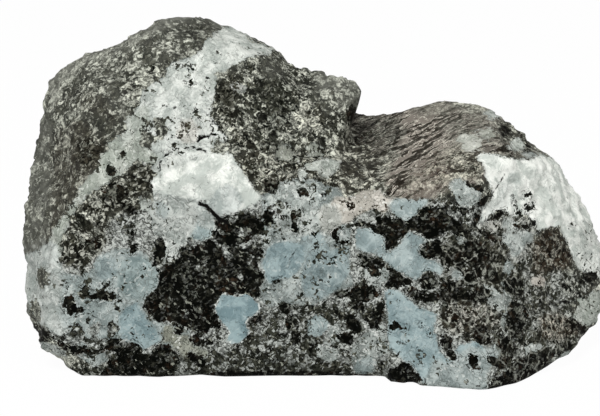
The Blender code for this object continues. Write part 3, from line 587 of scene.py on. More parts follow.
# Places where the windows leave the basalt bare
gaps = {
    "oval in the vein": [140,138, 144,132, 151,132, 157,138, 155,146, 147,149, 140,144],
    "dark patch in the vein": [153,120, 158,116, 164,121, 169,131, 165,141, 159,141, 155,133],
    "spot of the left flank, upper": [37,269, 43,266, 49,273, 48,284, 42,290, 37,282],
    "spot of the left flank, lower": [31,302, 36,299, 41,307, 41,320, 36,328, 32,322],
    "low on the left, first": [69,328, 76,323, 84,329, 83,341, 75,346, 67,339],
    "low on the left, second": [87,332, 93,325, 101,323, 100,331, 92,337],
    "low on the left, third": [107,324, 113,319, 118,328, 115,338, 109,336],
    "dark green in the right chunk": [560,300, 572,298, 580,304, 576,314, 564,314],
    "low on the left, fourth": [85,340, 95,336, 106,341, 102,350, 88,349],
}

# Pale spots left inside the dark masses
clearings = {
    "under the crack, left": [219,230, 227,230, 226,235, 220,234],
    "under the crack, right": [238,228, 243,227, 243,236, 239,238],
    "under the crack, ring": [229,218, 239,216, 236,221, 231,222],
    "ring right of the block": [269,208, 276,204, 281,208, 276,211, 270,212],
    "chain, left": [376,289, 379,288, 380,292, 377,293],
    "fleck, upper": [194,265, 199,263, 200,268, 195,270],
    "fleck, middle": [203,262, 207,262, 206,267, 203,266],
    "fleck, lower": [184,310, 188,308, 190,313, 186,315],
    "lens, upper right": [221,248, 227,249, 235,257, 233,263, 226,257],
    "lens, right": [238,272, 243,276, 242,280, 238,277],
    "edge, right": [246,252, 254,257, 250,263, 246,259],
    "long mass, right": [462,216, 470,213, 474,220, 470,229, 463,226],
    "long mass, lower left": [466,262, 472,260, 475,268, 470,272, 466,268],
    "long mass, upper": [446,206, 456,208, 462,214, 456,220, 448,214],
    "beside the ring": [272,218, 284,216, 292,224, 288,232, 278,229],
    "right of the round spot": [462,287, 470,285, 476,289, 472,294, 464,293],
    "long mass, lower top": [455,237, 464,236, 468,242, 460,246, 454,243],
}

# Thin dark cracks: half the width of each, and points along it, in pixels
cracks = {
    "crack below the block": (1.9, [199,203, 206,206, 213,213, 219,219, 226,222]),
    "corner of the right white mass": (0.35, [505,174, 500,182, 496,190, 491,200]),
    "left edge of the block": (1.0, [158,172, 162,162, 167,155, 173,150]),
    "right of the brown spot": (1.3, [560,303, 566,302, 571,303]),
    "right edge of the vein": (0.8, [204,111, 211,119, 219,127, 228,137]),
    "vein crease, upper": (0.7, [143,99, 149,104, 156,102]),
    "vein crease, middle": (0.7, [165,105, 171,110, 176,106]),
    "vein crease, lower": (1.8, [196,140, 201,136, 207,134, 213,133]),
    "under the vein": (1.2, [190,145, 197,149, 206,151]),
    "streak in the blue, first": (0.25, [299,246, 294,253, 289,260]),
    "streak in the blue, second": (0.25, [293,246, 288,253, 284,259]),
    "left blue, slanting": (0.35, [131,309, 126,318, 120,327]),
}

frontDrawing = {"grounds": grounds, "windows": windows, "gaps": gaps, "darkMasses": darkMasses,
                "clearings": clearings, "cracks": cracks}

# The same marks on the sides that the front view doesn't show, drawn on the stone unrolled: degrees round
# from the middle of the back, rising to the right end at 90 and falling to the left end at -90, and height
backDrawing = {
    "grounds": {
        "dusty high back": {"pale": 0.42, "haze": 0.7, "warm": 0.15, "outline": [
            -100,34, -96,60, -60,74, -20,70, -12,50, -30,38, -60,28]},
        "brown back": {"pale": 0.3, "haze": 0.2, "warm": 0.45, "outline": [
            -60,30, -32,38, -10,28, -6,12, -24,2, -52,6, -66,16]},
        "pale foot of the back": {"pale": 0.56, "haze": 0.15, "outline": [
            -6,18, 20,26, 48,20, 58,8, 50,-2, 0,-2, -14,6]},
        "streaked low back": {"pale": 0.42, "haze": 0.45, "streak": 0.6, "warm": 0.3, "outline": [
            8,46, 30,50, 60,46, 66,36, 44,32, 20,36]},
        "grains of the right end": {"pale": 0.32, "haze": 0.1, "warm": 0.15, "outline": [
            58,30, 80,20, 110,16, 112,-2, 62,-2, 50,14]},
    },
    "windows": {
        "vein over the crown": {"white": 0.5, "pale": 0.86, "outline": [
            -58,72, -30,74, 6,68, 8,59, -2,55, 0,48, -8,43, -5,36, -13,31, -11,25, -19,19, -26,22,
            -22,30, -27,36, -21,42, -29,47, -27,54, -38,57, -41,63, -52,65]},
        "branch of the vein": {"white": 0.32, "green": 0.25, "pale": 0.84, "outline": [
            -13,32, -4,31, 0,26, 8,27, 13,21, 22,21, 27,16, 35,15, 33,10, 24,11, 17,15, 9,15, 4,20,
            -5,20, -12,24]},
        "blue pocket of the back": {"blue": 0.9, "pale": 1.0, "rim": 0.9, "outline": [
            15,31, 21,27, 28,29, 36,26, 39,20, 34,17, 31,12, 25,14, 21,18, 14,17, 11,22]},
        "white of the right end": {"white": 0.75, "pale": 0.96, "outline": [
            58,40, 70,36, 84,44, 104,42, 116,30, 112,16, 101,13, 94,7, 86,12, 79,9, 76,17, 69,16, 66,23,
            58,26, 55,33]},
        "green of the left end": {"green": 0.5, "white": 0.25, "pale": 0.86, "outline": [
            -130,30, -116,37, -104,33, -98,38, -90,33, -86,27, -79,28, -80,20, -87,17, -84,9, -94,6,
            -101,11, -112,7, -126,12]},
        "pale patch, left": {"white": 0.25, "pale": 0.85, "outline": [
            -67,35, -61,41, -53,38, -49,42, -43,36, -46,30, -41,26, -47,20, -55,22, -58,16, -65,19,
            -63,26, -70,30]},
        "blue spot, low": {"blue": 0.6, "pale": 1.0, "rim": 0.6, "outline": [
            46,11, 51,15, 57,13, 59,7, 53,4, 48,6]},
        "band round the left end": {"white": 0.34, "blue": 0.2, "pale": 0.96, "outline": [
            -130,4, -130,17, -106,18, -98,16, -92,19, -84,16, -78,18, -71,12, -64,13, -60,8, -67,5,
            -76,6, -84,3, -96,5, -110,3]},
        "pale spot, low": {"white": 0.3, "pale": 0.92, "outline": [-38,9, -31,13, -25,9, -28,4, -35,3]},
    },
    "gaps": {},
    "darkMasses": {
        "right": [46,40, 52,36, 58,37, 61,30, 55,27, 57,21, 50,19, 45,23, 40,20, 36,25, 39,30, 35,34],
        "middle": [-23,15, -16,19, -10,16, -3,18, 3,13, 9,11, 7,5, 1,4, -3,0, -12,2, -18,0, -25,4, -28,10],
        "left": [-66,15, -61,19, -57,15, -52,15, -50,9, -55,4, -61,5, -66,2, -70,6, -67,10],
        "under the crown": [0,62, 8,64, 14,57, 10,51, 14,46, 7,42, 1,47, 3,54],
        "high left": [-76,47, -69,52, -61,49, -57,53, -52,47, -58,43],
        "beads, left": [-50,14, -46,17, -43,13, -47,10],
        "beads, middle": [12,36, 16,39, 21,36, 17,33],
        "beads, right": [64,9, 69,12, 73,7, 67,3],
        "right foot": [84,7, 92,5, 100,9, 106,4, 100,-2, 84,-2],
    },
    "clearings": {
        "right": [47,30, 50,33, 52,29, 49,27],
        "middle": [-12,10, -8,12, -6,8, -10,6],
    },
    "cracks": {},
}
backWidth = 0.6  # millimetres across the unrolled stone for each degree round it

# How the drawings are read: distances in pixels of the front view, and shares from 0 to 1
drawingRules = {
    "reach": 34.0,  # distances to an outline, and to a chain, stay at these past them
    "chainReach": 40.0,
    "groundBlend": 12.0,  # width over which one ground turns into the next
    "windowBlend": 3.0,
    "rimFade": 2.0,  # how far a faint rim is moved away from its edge
    "plainGround": {"pale": 0.42, "haze": 0.30},  # where no ground is drawn
    "windowPale": 0.97,
    "frontFrom": -0.26,  # how far the stone faces the viewer where the front's drawing starts
    "frontBlend": 0.16,
}
groundMarks = ("pale", "haze", "polish", "streak", "net", "warm", "blue", "white", "green")
windowTints = ("warm", "blue", "white", "green")
edgeMarks = ("windowEdge", "darkEdge", "crackEdge", "rimEdge")


# Vectors divided by their own lengths
def unit(vectors):
    vectors = np.asarray(vectors, float)
    return vectors / np.linalg.norm(vectors, axis=-1, keepdims=True)


# Cubic step from 0 at 0 to 1 at 1
def smoothStep(x):
    t = np.clip(x, 0.0, 1.0)
    return t * t * (3.0 - 2.0 * t)


# Larger of two values, rounded over where they differ by less than the softness
def softMax(a, b, softness):
    near = np.maximum(softness - np.abs(a - b), 0.0)
    return np.maximum(a, b) + near * near / (4.0 * softness)


# Smaller of two values, rounded in the same way
def softMin(a, b, softness):
    return -softMax(-a, -b, softness)


# Distance outside a convex block: the largest distance in front of any of its facets
def blockField(points, facets):
    value = None
    for place, direction, softness in facets.values():
        distance = (points - np.asarray(place, float)) @ unit(direction)
        value = distance if value is None else softMax(value, distance, softness)
    return value


# Below zero inside the stone: three blocks joined, cut by the front and the other sides, then hollowed
def stoneField(points):
    value = softMin(blockField(points, bench), blockField(points, lowBlock), stoneJoins["bench"])
    value = softMin(blockField(points, highBlock), value, stoneJoins["high block"])
    front = softMin(blockField(points, polishedFront), blockField(points, toe), stoneJoins["toe"])
    value = softMax(value, front, stoneJoins["front"])
    value = softMax(value, blockField(points, allRound), stoneJoins["other sides"])
    for middle, radius, softness in hollows.values():
        depth = radius - np.linalg.norm(points - np.asarray(middle, float), axis=1)
        value = softMax(value, depth, softness)
    return softMax(value, -points[:, 2], stoneJoins["flat"])


# Repeated halving finds where each ray leaves the stone
def surfaceRadius(rays):
    inner = np.zeros(len(rays))
    outer = np.full(len(rays), rayLength)
    for _ in range(halvings):
        middle = 0.5 * (inner + outer)
        inside = stoneField(heart + rays * middle[:, None]) < 0.0
        inner = np.where(inside, middle, inner)
        outer = np.where(inside, outer, middle)
    return 0.5 * (inner + outer)


# A repeatable number from 0 to 1 for each lattice cell: large odd factors mix the bits of its place
def cellNumber(cells, seed):
    mask = 0xFFFFFFFF
    mixed = (cells[:, 0] * 73856093) ^ (cells[:, 1] * 19349663) ^ (cells[:, 2] * 83492791)
    mixed = (mixed ^ (seed * 40503)) & mask
    for shift, factor in ((15, 0x2C1B3C6D), (12, 0x297A2D39)):
        mixed = ((mixed ^ (mixed >> shift)) * factor) & mask
    return (mixed ^ (mixed >> 15)) / (mask + 1.0)


# Broken faces: every cell has its own tilted plane, and a point takes the planes of the cells nearest it
def brokenFaces(points, size, seed):
    scaled = points / size
    home = np.floor(scaled).astype(np.int64)
    total = np.zeros(len(points))
    weights = np.zeros(len(points))
    for step in np.ndindex(3, 3, 3):
        cells = home + np.array(step) - 1
        jitter = np.stack([cellNumber(cells, seed + k) for k in range(3)], axis=1)
        tilt = np.stack([cellNumber(cells, seed + 10 + k) for k in range(3)], axis=1) - 0.5
        offset = scaled - (cells + 0.5 + stoneRelief["jitter"] * (jitter - 0.5))
        weight = np.exp(-stoneRelief["sharpness"] * (offset * offset).sum(axis=1))
        total += weight * (2.0 * (offset * tilt).sum(axis=1) + cellNumber(cells, seed + 20) - 0.5)
        weights += weight
    return total / weights


# The front view's three directions: towards the viewer, to the right and up
backward = unit(eye - aim)
rightward = unit(np.cross([0.0, 0.0, 1.0], backward))
upward = np.cross(backward, rightward)


# Places in the front view's pixels, with the distance from the eye
def frontView(points):
    away = points - eye
    distance = -(away @ backward)
    across = viewMiddle[0] + viewFocal * (away @ rightward) / distance
    down = viewMiddle[1] - viewFocal * (away @ upward) / distance
    return np.stack([across, down], axis=1), distance


heartPixel = frontView(heart[None])[0][0]


# Heights of the swells and dents at points of the front: a bell over an ellipse of the view for each
def swellHeight(points, facing):
    pixels = frontView(points)[0]
    height = np.zeros(len(points))
    for middle, half, rise in swells.values():
        offset = (pixels - np.array(middle)) / np.array(half)
        height += rise * np.exp(-(offset * offset).sum(axis=1))
    return height * smoothStep(stoneMesh["swellFacing"] * facing)


# Points with the front foot set back along its edge, less and less up to the foot's reach
def setFoot(points):
    across, back = np.transpose(footEdge)
    low = 1.0 - smoothStep(points[:, 2] / footReach)
    inFront = smoothStep(-points[:, 1] / footDepth)
    depth = np.interp(frontView(points)[0][:, 0], across, back) * low * inFront
    return points + depth[:, None] * np.array([0.0, 1.0, 0.0])


# Distance from the middle to the outline in each direction, where each ray crosses the outline's edges
def outlineRadius(angles, middle):
    corners = np.reshape(outline, (-1, 2)) - middle
    rays = np.stack([np.cos(angles), np.sin(angles)], axis=1)
    radius = np.zeros(len(angles))
    for start, end in zip(corners, np.roll(corners, -1, axis=0)):
        edge = end - start
        spread = rays[:, 0] * edge[1] - rays[:, 1] * edge[0]
        spread = np.where(np.abs(spread) < tiny, tiny, spread)
        along = (start[0] * edge[1] - start[1] * edge[0]) / spread
        share = (start[0] * rays[:, 1] - start[1] * rays[:, 0]) / spread
        crosses = (share >= 0.0) & (share <= 1.0) & (along > radius)
        radius = np.where(crosses, along, radius)
    return radius


# Each point's offset from the heart in the front view, its length, its sector, and how far the eye is
def sectorPlaces(points):
    pixels, distance = frontView(points)
    offset = pixels - heartPixel
    turn = (np.arctan2(offset[:, 1], offset[:, 0]) + np.pi) / (2.0 * np.pi) * outlineSectors
    return offset, np.hypot(offset[:, 0], offset[:, 1]), turn, distance


# How far each sector of the front view reaches, and the stretch that takes it to the outline
def outlineStretch(points):
    _, reach, turn, _ = sectorPlaces(points)
    widest = np.zeros(outlineSectors)
    np.maximum.at(widest, np.floor(turn).astype(int) % outlineSectors, reach)
    angles = (np.arange(outlineSectors) + 0.5) / outlineSectors * 2.0 * np.pi - np.pi
    stretch = outlineRadius(angles, heartPixel) / widest
    steps = np.arange(-outlineSpan, outlineSpan + 1)
    shares = np.exp(-0.5 * (steps / outlineBlend) ** 2)
    shares = shares / shares.sum()
    return [sum(share * np.roll(values, step) for share, step in zip(shares, steps))
            for values in (widest, stretch)]


# Moves the points across the front view by the stretch of their sector, the more the nearer to its edge
def fitOutline(points, widest, stretch):
    offset, reach, turn, distance = sectorPlaces(points)
    sector = np.floor(turn - 0.5).astype(int)
    part = turn - 0.5 - sector
    localWidest, localStretch = [values[sector % outlineSectors] * (1.0 - part)
                                 + values[(sector + 1) % outlineSectors] * part
                                 for values in (widest, stretch)]
    share = np.clip(reach / localWidest, 0.0, 1.0) ** 2 * smoothStep(points[:, 2] / outlineFade)
    move = (localStretch - 1.0) * share * distance / viewFocal
    return points + move[:, None] * (offset[:, :1] * rightward - offset[:, 1:] * upward)


# Two sheets of squares cover every direction from the heart. A square grid is bent to a round disc, and
# the distance from its middle is the angle from the viewer's direction. The back sheet shares the rim.
def sheetRays():
    across, up = stoneMesh["squares"]
    u, v = np.meshgrid(np.linspace(-1.0, 1.0, across + 1), np.linspace(-1.0, 1.0, up + 1), indexing="ij")
    x = u * np.sqrt(1.0 - 0.5 * v * v)
    y = v * np.sqrt(1.0 - 0.5 * u * u)
    out = np.clip(np.hypot(x, y), tiny, 1.0)
    frontAngle = np.radians(stoneMesh["middleSpread"] * out + stoneMesh["rimSpread"]
                            * out ** stoneMesh["rimPower"])
    rimAngle = np.radians(stoneMesh["middleSpread"] + stoneMesh["rimSpread"])
    backAngle = np.pi - (np.pi - rimAngle) * out
    wide, high, deep = stoneMesh["halfSize"]

    # Rays at an angle from the viewer's direction, drawn out as the stone is
    def raysAt(angle):
        sideways = (np.sin(angle) * x / out * wide)[..., None] * rightward
        along = (np.sin(angle) * y / out * high)[..., None] * upward
        return unit(sideways + along + (np.cos(angle) * deep)[..., None] * backward)

    front = np.arange((across + 1) * (up + 1)).reshape(across + 1, up + 1)
    inner = (across - 1) * (up - 1)
    back = front.copy()
    back[1:-1, 1:-1] = front.size + np.arange(inner).reshape(across - 1, up - 1)
    rays = np.concatenate([raysAt(frontAngle).reshape(-1, 3), raysAt(backAngle)[1:-1, 1:-1].reshape(-1, 3)])
    faces = []
    for sheet, order in ((front, 1), (back, -1)):
        corners = [sheet[:-1, :-1], sheet[1:, :-1], sheet[1:, 1:], sheet[:-1, 1:]]
        faces.append(np.stack([corner.ravel() for corner in corners][::order], axis=1))
    return rays, np.concatenate(faces)


# Distance in pixels from each place to a straight edge
def edgeDistance(places, start, end):
    edge = end - start
    offset = places - start
    along = np.clip(offset @ edge / (edge @ edge), 0.0, 1.0)
    return np.hypot(*(offset - along[:, None] * edge).T)


# Signed distance in pixels from each place to an outline, positive inside. Far places stay at the reach.
def insideDistance(pixels, corners):
    reach = drawingRules["reach"]
    result = np.full(len(pixels), -reach)
    near = np.all((pixels > corners.min(axis=0) - reach) & (pixels < corners.max(axis=0) + reach), axis=1)
    places = pixels[near]
    nearest = np.full(len(places), reach)
    inside = np.zeros(len(places), bool)
    for start, end in zip(corners, np.roll(corners, -1, axis=0)):
        nearest = np.minimum(nearest, edgeDistance(places, start, end))
        spans = (start[1] > places[:, 1]) != (end[1] > places[:, 1])
        rise = end[1] - start[1] if abs(end[1] - start[1]) > tiny else tiny
        inside ^= spans & (places[:, 0] < start[0] + (places[:, 1] - start[1]) * (end[0] - start[0]) / rise)
    result[near] = np.where(inside, nearest, -nearest)
    return result


# Distance in pixels from each place to a chain of points
def chainDistance(pixels, chain):
    nearest = np.full(len(pixels), drawingRules["chainReach"])
    places = np.reshape(chain, (-1, 2)).astype(float)
    for start, end in zip(places[:-1], places[1:]):
        nearest = np.minimum(nearest, edgeDistance(pixels, start, end))
    return nearest


# Marks of one drawing at places on it. Soft shares step from one region to the next, hard edges are kept
# as signed distances in millimetres, and rimEdge is the distance from a rimmed edge
def drawnMarks(pixels, drawing, scale):
    # Signed distance to an outline of this drawing
    def signed(corners):
        return insideDistance(pixels, np.reshape(corners, (-1, 2)) * np.array(scale))

    count = len(pixels)
    soft = {name: np.full(count, drawingRules["plainGround"].get(name, 0.0)) for name in groundMarks}
    for ground in drawing["grounds"].values():
        share = smoothStep(0.5 + signed(ground["outline"]) / drawingRules["groundBlend"])
        for name, value in soft.items():
            value += share * (ground.get(name, 0.0) - value)
    edges = {name: np.full(count, -drawingRules["reach"]) for name in edgeMarks}
    edges["rimEdge"] *= -1.0
    windowPale = np.full(count, drawingRules["windowPale"])
    for window in drawing["windows"].values():
        distance = signed(window["outline"])
        edges["windowEdge"] = np.maximum(edges["windowEdge"], distance)
        if "rim" in window:
            fromRim = np.abs(distance) + drawingRules["rimFade"] * (1.0 - window["rim"])
            edges["rimEdge"] = np.minimum(edges["rimEdge"], fromRim)
        share = smoothStep(0.5 + distance / drawingRules["windowBlend"])
        windowPale += share * (window.get("pale", drawingRules["windowPale"]) - windowPale)
        for name in windowTints:
            soft[name] += share * (window.get(name, 0.0) - soft[name])
    for corners in drawing["gaps"].values():
        edges["windowEdge"] = np.minimum(edges["windowEdge"], -signed(corners))
    for corners in drawing["darkMasses"].values():
        edges["darkEdge"] = np.maximum(edges["darkEdge"], signed(corners))
    for corners in drawing["clearings"].values():
        edges["darkEdge"] = np.minimum(edges["darkEdge"], -signed(corners))
    for halfWidth, chain in drawing["cracks"].values():
        edges["crackEdge"] = np.maximum(edges["crackEdge"], halfWidth - chainDistance(pixels, chain))
    marks = {name: value * pixelSize for name, value in edges.items()}
    return dict(soft, windowPale=windowPale, **marks)


# Values of the marks at each point: the front's, and the back's where the stone has turned well away
def stoneMarks(points, facing):
    front = drawnMarks(frontView(points)[0], frontDrawing, (1.0, 1.0))
    turned = np.degrees(np.arctan2(points[:, 0] - heart[0], points[:, 1] - heart[1]))
    unrolled = np.stack([turned * backWidth, points[:, 2]], axis=1) / pixelSize
    behind = drawnMarks(unrolled, backDrawing, (backWidth / pixelSize, 1.0 / pixelSize))
    share = smoothStep((facing - drawingRules["frontFrom"]) / drawingRules["frontBlend"])
    return {name: behind[name] * (1.0 - share) + value * share for name, value in front.items()}


# Broken faces of several sizes added up, by the names of their sizes
def relief(points, *names):
    return sum(height * brokenFaces(points, size, seed)
               for size, height, seed in (stoneRelief[name] for name in names))


# Share of the relief at each point: the polished share on the plane of the front, up to 1 well past it
def roughShare(points):
    place, direction, _ = polishedFront["polished front"]
    away = np.abs((points - np.asarray(place, float)) @ unit(direction))
    outside = smoothStep((away - stoneRelief["polishedDepth"]) / stoneRelief["polishedRim"])
    return stoneRelief["polishedShare"] + (1.0 - stoneRelief["polishedShare"]) * outside


# The stone's points: facets with their lumps, chips, swells and dents, fitted to the outline, then finer
# flakes and grit where it isn't polished, standing on its flat about its own middle
def stoneSurface(rays):
    ridgeTurn = np.stack([unit(stoneRelief["ridgeRun"]) / stoneRelief["ridgeStretch"],
                          unit(np.cross([0.0, 0.0, 1.0], stoneRelief["ridgeRun"])),
                          np.array([0.0, 0.0, 1.0])], axis=1)
    points = heart + rays * surfaceRadius(rays)[:, None]
    steps = stoneMesh["slopeStep"] * np.eye(3)
    facing = unit(np.stack([stoneField(points + step) - stoneField(points - step) for step in steps],
                           axis=1)) @ backward
    aboveFoot = smoothStep(points[:, 2] / stoneMesh["smoothFoot"])
    height = roughShare(points) * relief(points, "lumps", "chips") + swellHeight(points, rays @ backward)
    fitted = points + rays * (height * aboveFoot)[:, None]
    fitted = setFoot(fitOutline(fitted, *outlineStretch(fitted)))
    marks = stoneMarks(fitted, facing)
    fine = relief(points, "flakes", "grit")
    fine *= (1.0 - stoneRelief["polishedFine"] * marks["polish"]) * aboveFoot
    fine += marks["streak"] * relief(points @ ridgeTurn, "ridges")
    groove = smoothStep(0.5 + marks["crackEdge"] / stoneRelief["grooveBlend"])
    fitted += rays * (fine - stoneRelief["grooveDepth"] * groove)[:, None]
    fitted[:, 2] = np.maximum(fitted[:, 2], 0.0)
    low = fitted.min(axis=0)
    high = fitted.max(axis=0)
    middle = 0.5 * (low + high) * np.array([1.0, 1.0, 0.0])
    scale = stoneMesh["length"] / (high[0] - low[0])
    return (fitted - middle) * scale, marks, middle, scale


# Colour given as a paint program shows it, 0 to 255
def paint(red, green, blue):
    shown = np.array([red, green, blue]) / 255.0
    linear = np.where(shown <= 0.04045, shown / 12.92, ((shown + 0.055) / 1.055) ** 2.4)
    return (*[float(value) for value in linear], 1.0)


# Links or sets the inputs of a node
def fillInputs(made, inputs):
    for socket, value in inputs.items():
        if isinstance(value, bpy.types.NodeSocket):
            made.id_data.links.new(value, made.inputs[socket])
        else:
            made.inputs[socket].default_value = value


# Adds a node to the tree that its linked inputs are in, sets its options, and fills its inputs
def addNode(kind, inputs, **options):
    linked = [value for value in inputs.values() if isinstance(value, bpy.types.NodeSocket)]
    made = linked[0].id_data.nodes.new(kind)
    for name, value in options.items():
        setattr(made, name, value)
    fillInputs(made, inputs)
    return made


# One maths operation on values or sockets
def maths(operation, *values):
    return addNode("ShaderNodeMath", dict(enumerate(values)), operation=operation).outputs[0]


# Two values multiplied
def times(*values):
    return maths("MULTIPLY", *values)


# One less the value
def rest(value):
    return maths("SUBTRACT", 1.0, value)


# The value times a factor, and something added
def timesPlus(value, factor, added):
    return maths("MULTIPLY_ADD", value, factor, added)


# The value's distance above or below a middle
def past(value, middle=0.5):
    return maths("SUBTRACT", value, middle)


# Mixes two colours by a mask
def blend(mask, first, second, mode="MIX"):
    return addNode("ShaderNodeMix", {0: mask, 6: first, 7: second}, data_type="RGBA",
                   blend_type=mode).outputs[2]


# Mixes two values by a mask
def mixValue(mask, first, second):
    return addNode("ShaderNodeMix", {0: mask, 2: first, 3: second}).outputs[0]


# Value taken from one range to 0 to 1, smoothly
def rise(value, low, high):
    return addNode("ShaderNodeMapRange", {"Value": value, "From Min": low, "From Max": high},
                   interpolation_type="SMOOTHSTEP").outputs["Result"]


# The same, from 1 to 0
def fall(value, low, high):
    return rest(rise(value, low, high))


# Noise about 0.5, with the scale in cells for each millimetre
def noise(point, scale, detail=2.0, roughness=0.5, output="Fac"):
    return addNode("ShaderNodeTexNoise", {"Vector": point, "Scale": scale, "Detail": detail,
                                          "Roughness": roughness}).outputs[output]


# Soft patches where noise passes from a low value to a high one
def patches(point, scale, low, high):
    return rise(noise(point, scale), low, high)


# One operation on vectors
def vectorMaths(operation, inputs):
    return addNode("ShaderNodeVectorMath", inputs, operation=operation).outputs[0]


# Shifts a point by noise, so that a pattern read there wanders
def wander(point, scale, amount):
    shift = vectorMaths("SUBTRACT", {0: noise(point, scale, output="Color"), 1: (0.5, 0.5, 0.5)})
    shift = vectorMaths("SCALE", {0: shift, "Scale": amount})
    return vectorMaths("ADD", {0: point, 1: shift})


# Turns a point and draws it out, for patterns that run one way
def drawnOut(point, turn, stretch):
    return addNode("ShaderNodeMapping", {"Vector": point, "Rotation": turn, "Scale": stretch},
                   vector_type="TEXTURE").outputs[0]


# Random colour of each crystal: cells of about one over the scale, in millimetres, with crisp edges
def crystals(point, scale):
    made = addNode("ShaderNodeTexVoronoi", {"Vector": point, "Scale": scale})
    return addNode("ShaderNodeSeparateColor", {0: made.outputs["Color"]}).outputs


# Distance from the nearest seam between the same crystals
def seams(point, scale):
    return addNode("ShaderNodeTexVoronoi", {"Vector": point, "Scale": scale},
                   feature="DISTANCE_TO_EDGE").outputs["Distance"]


# A node group with named inputs and outputs. Returns its tree, its inputs and its output node
def newGroup(name, inputs, outputs):
    tree = bpy.data.node_groups.new(name, "ShaderNodeTree")
    kinds = {"Point": "NodeSocketVector", "Color": "NodeSocketColor"}
    for side, sockets in (("INPUT", inputs), ("OUTPUT", outputs)):
        for socket in sockets:
            tree.interface.new_socket(name=socket, in_out=side,
                                      socket_type=kinds.get(socket, "NodeSocketFloat"))
    return tree, tree.nodes.new("NodeGroupInput").outputs, tree.nodes.new("NodeGroupOutput")


# Places a node group with its own inputs. Returns its outputs
def placeGroup(group, inputs):
    return addNode("ShaderNodeGroup", inputs, node_tree=group).outputs


# Numbers of the ragged edge: scales in cells for each millimetre, amounts in millimetres
raggedEdge = {
    "wander": (1.4, 1.0),
    "sway": (0.6, 3.0, 0.6),
    "swayAmount": 9.0,
    "crystals": ((1.5, 2.4), (3.4, 1.6)),
}


# Ragged edge: a distance moved by noise and by the random values of two sizes of crystal, cut at zero
def raggedEdgeGroup():
    tree, given, result = newGroup("ragged edge", ("Point", "Distance", "Wander", "Softness"),
                                   ("Mask", "Reach"))
    moved = wander(given["Point"], *raggedEdge["wander"])
    sway = noise(given["Point"], *raggedEdge["sway"])
    shift = times(past(sway), raggedEdge["swayAmount"])
    for scale, amount in raggedEdge["crystals"]:
        shift = timesPlus(past(crystals(moved, scale)[0]), amount, shift)
    shifted = timesPlus(shift, given["Wander"], given["Distance"])
    mask = rise(shifted, times(given["Softness"], -1.0), given["Softness"])
    fillInputs(result, {"Mask": mask, "Reach": shifted})
    return tree


# Numbers of the basalt's grains: scales in cells for each millimetre, and shares from 0 to 1
basaltGrains = {
    "wander": (1.1, 1.3),
    "tilted": ((0.3, 0.75, 0.2), (2.0, 1.0, 0.8)),  # turn, and how far drawn out
    "leaning": ((-0.2, -0.6, 0.4), (1.7, 1.0, 0.8)),
    "leaningWhere": (0.9, 0.48, 0.52),
    "scales": (0.80, 0.95),  # tilted and leaning crystals, then the laths of each, then the small ones
    "lathScales": (2.6, 2.4),
    "smallScale": 1.9,
    "clump": (0.5, 3.0, 0.6),
    "broadClump": 0.2,
    "clumpShares": (0.6, 0.4),
    "clumpBlend": (0.39, 0.61),
    "orderShares": (0.40, 0.36, 0.24),  # of the clumps, the large crystals and the small ones
    "orderBlend": (0.14, 0.86),
    "toneShares": (0.48, 0.52),
    "specks": (0.965, 0.972),
    "seam": (0.03, 0.13),
    "heights": (-0.5, 0.5),  # of the seams and of the order
}


# Grains: clumping noise and the random values of flaky crystals that lean two ways, with small ones
# between them. Order is above zero in the pale share of them and below zero in the rest, Tone is each
# crystal's own value, Seam is one along the crystals' seams, Lath is the value of each of the thin
# crystals among them, and Speck marks a few of those
def grainGroup():
    tree, given, result = newGroup("basalt grains", ("Point", "Pale Share"),
                                   ("Order", "Tone", "Speck", "Lath", "Seam", "Height"))
    point = given["Point"]
    moved = wander(point, *basaltGrains["wander"])
    turned = [drawnOut(moved, *basaltGrains[name]) for name in ("tilted", "leaning")]
    which = patches(point, *basaltGrains["leaningWhere"])
    first, second = [crystals(*pair) for pair in zip(turned, basaltGrains["scales"])]
    edge = mixValue(which, *[seams(*pair) for pair in zip(turned, basaltGrains["scales"])])
    laths = [crystals(*pair) for pair in zip(turned, basaltGrains["lathScales"])]
    small = crystals(moved, basaltGrains["smallScale"])
    nearShare, broadShare = basaltGrains["clumpShares"]
    clump = timesPlus(noise(moved, *basaltGrains["clump"]), nearShare,
                      times(noise(point, basaltGrains["broadClump"]), broadShare))
    clumpShare, largeShare, smallShare = basaltGrains["orderShares"]
    both = timesPlus(mixValue(which, first[0], second[0]), largeShare, times(small[0], smallShare))
    clump = rise(clump, *basaltGrains["clumpBlend"])
    mixed = rise(timesPlus(clump, clumpShare, both), *basaltGrains["orderBlend"])
    largeShare, smallShare = basaltGrains["toneShares"]
    tone = timesPlus(mixValue(which, first[1], second[1]), largeShare, times(small[1], smallShare))
    seam = fall(edge, *basaltGrains["seam"])
    seamHeight, orderHeight = basaltGrains["heights"]
    fillInputs(result, {
        "Order": past(maths("ADD", mixed, given["Pale Share"]), 1.0),
        "Tone": tone,
        "Speck": rise(laths[0][0], *basaltGrains["specks"]),
        "Lath": mixValue(which, laths[0][1], laths[1][1]),
        "Seam": seam,
        "Height": timesPlus(seam, seamHeight, timesPlus(mixed, orderHeight, tone)),
    })
    return tree


# Numbers of the hair lines
hairLines = {
    "wander": (1.1, 0.9),
    "curl": (2.0, 0.55),
    "patches": (0.8, 0.36, 0.64),
    "cutBlend": 0.1,
}


# Hair lines: thin curling lines where noise passes its middle value, broken up by coarser noise
def hairLineGroup():
    tree, given, result = newGroup("hair lines", ("Point", "Scale", "Width", "Share"), ("Mask",))
    curl = noise(wander(given["Point"], *hairLines["wander"]), given["Scale"], *hairLines["curl"])
    line = fall(maths("ABSOLUTE", past(curl)), 0.0, given["Width"])
    cut = rest(given["Share"])
    shown = rise(patches(given["Point"], *hairLines["patches"]),
                 past(cut, hairLines["cutBlend"]), maths("ADD", cut, hairLines["cutBlend"]))
    fillInputs(result, {"Mask": times(line, shown)})
    return tree


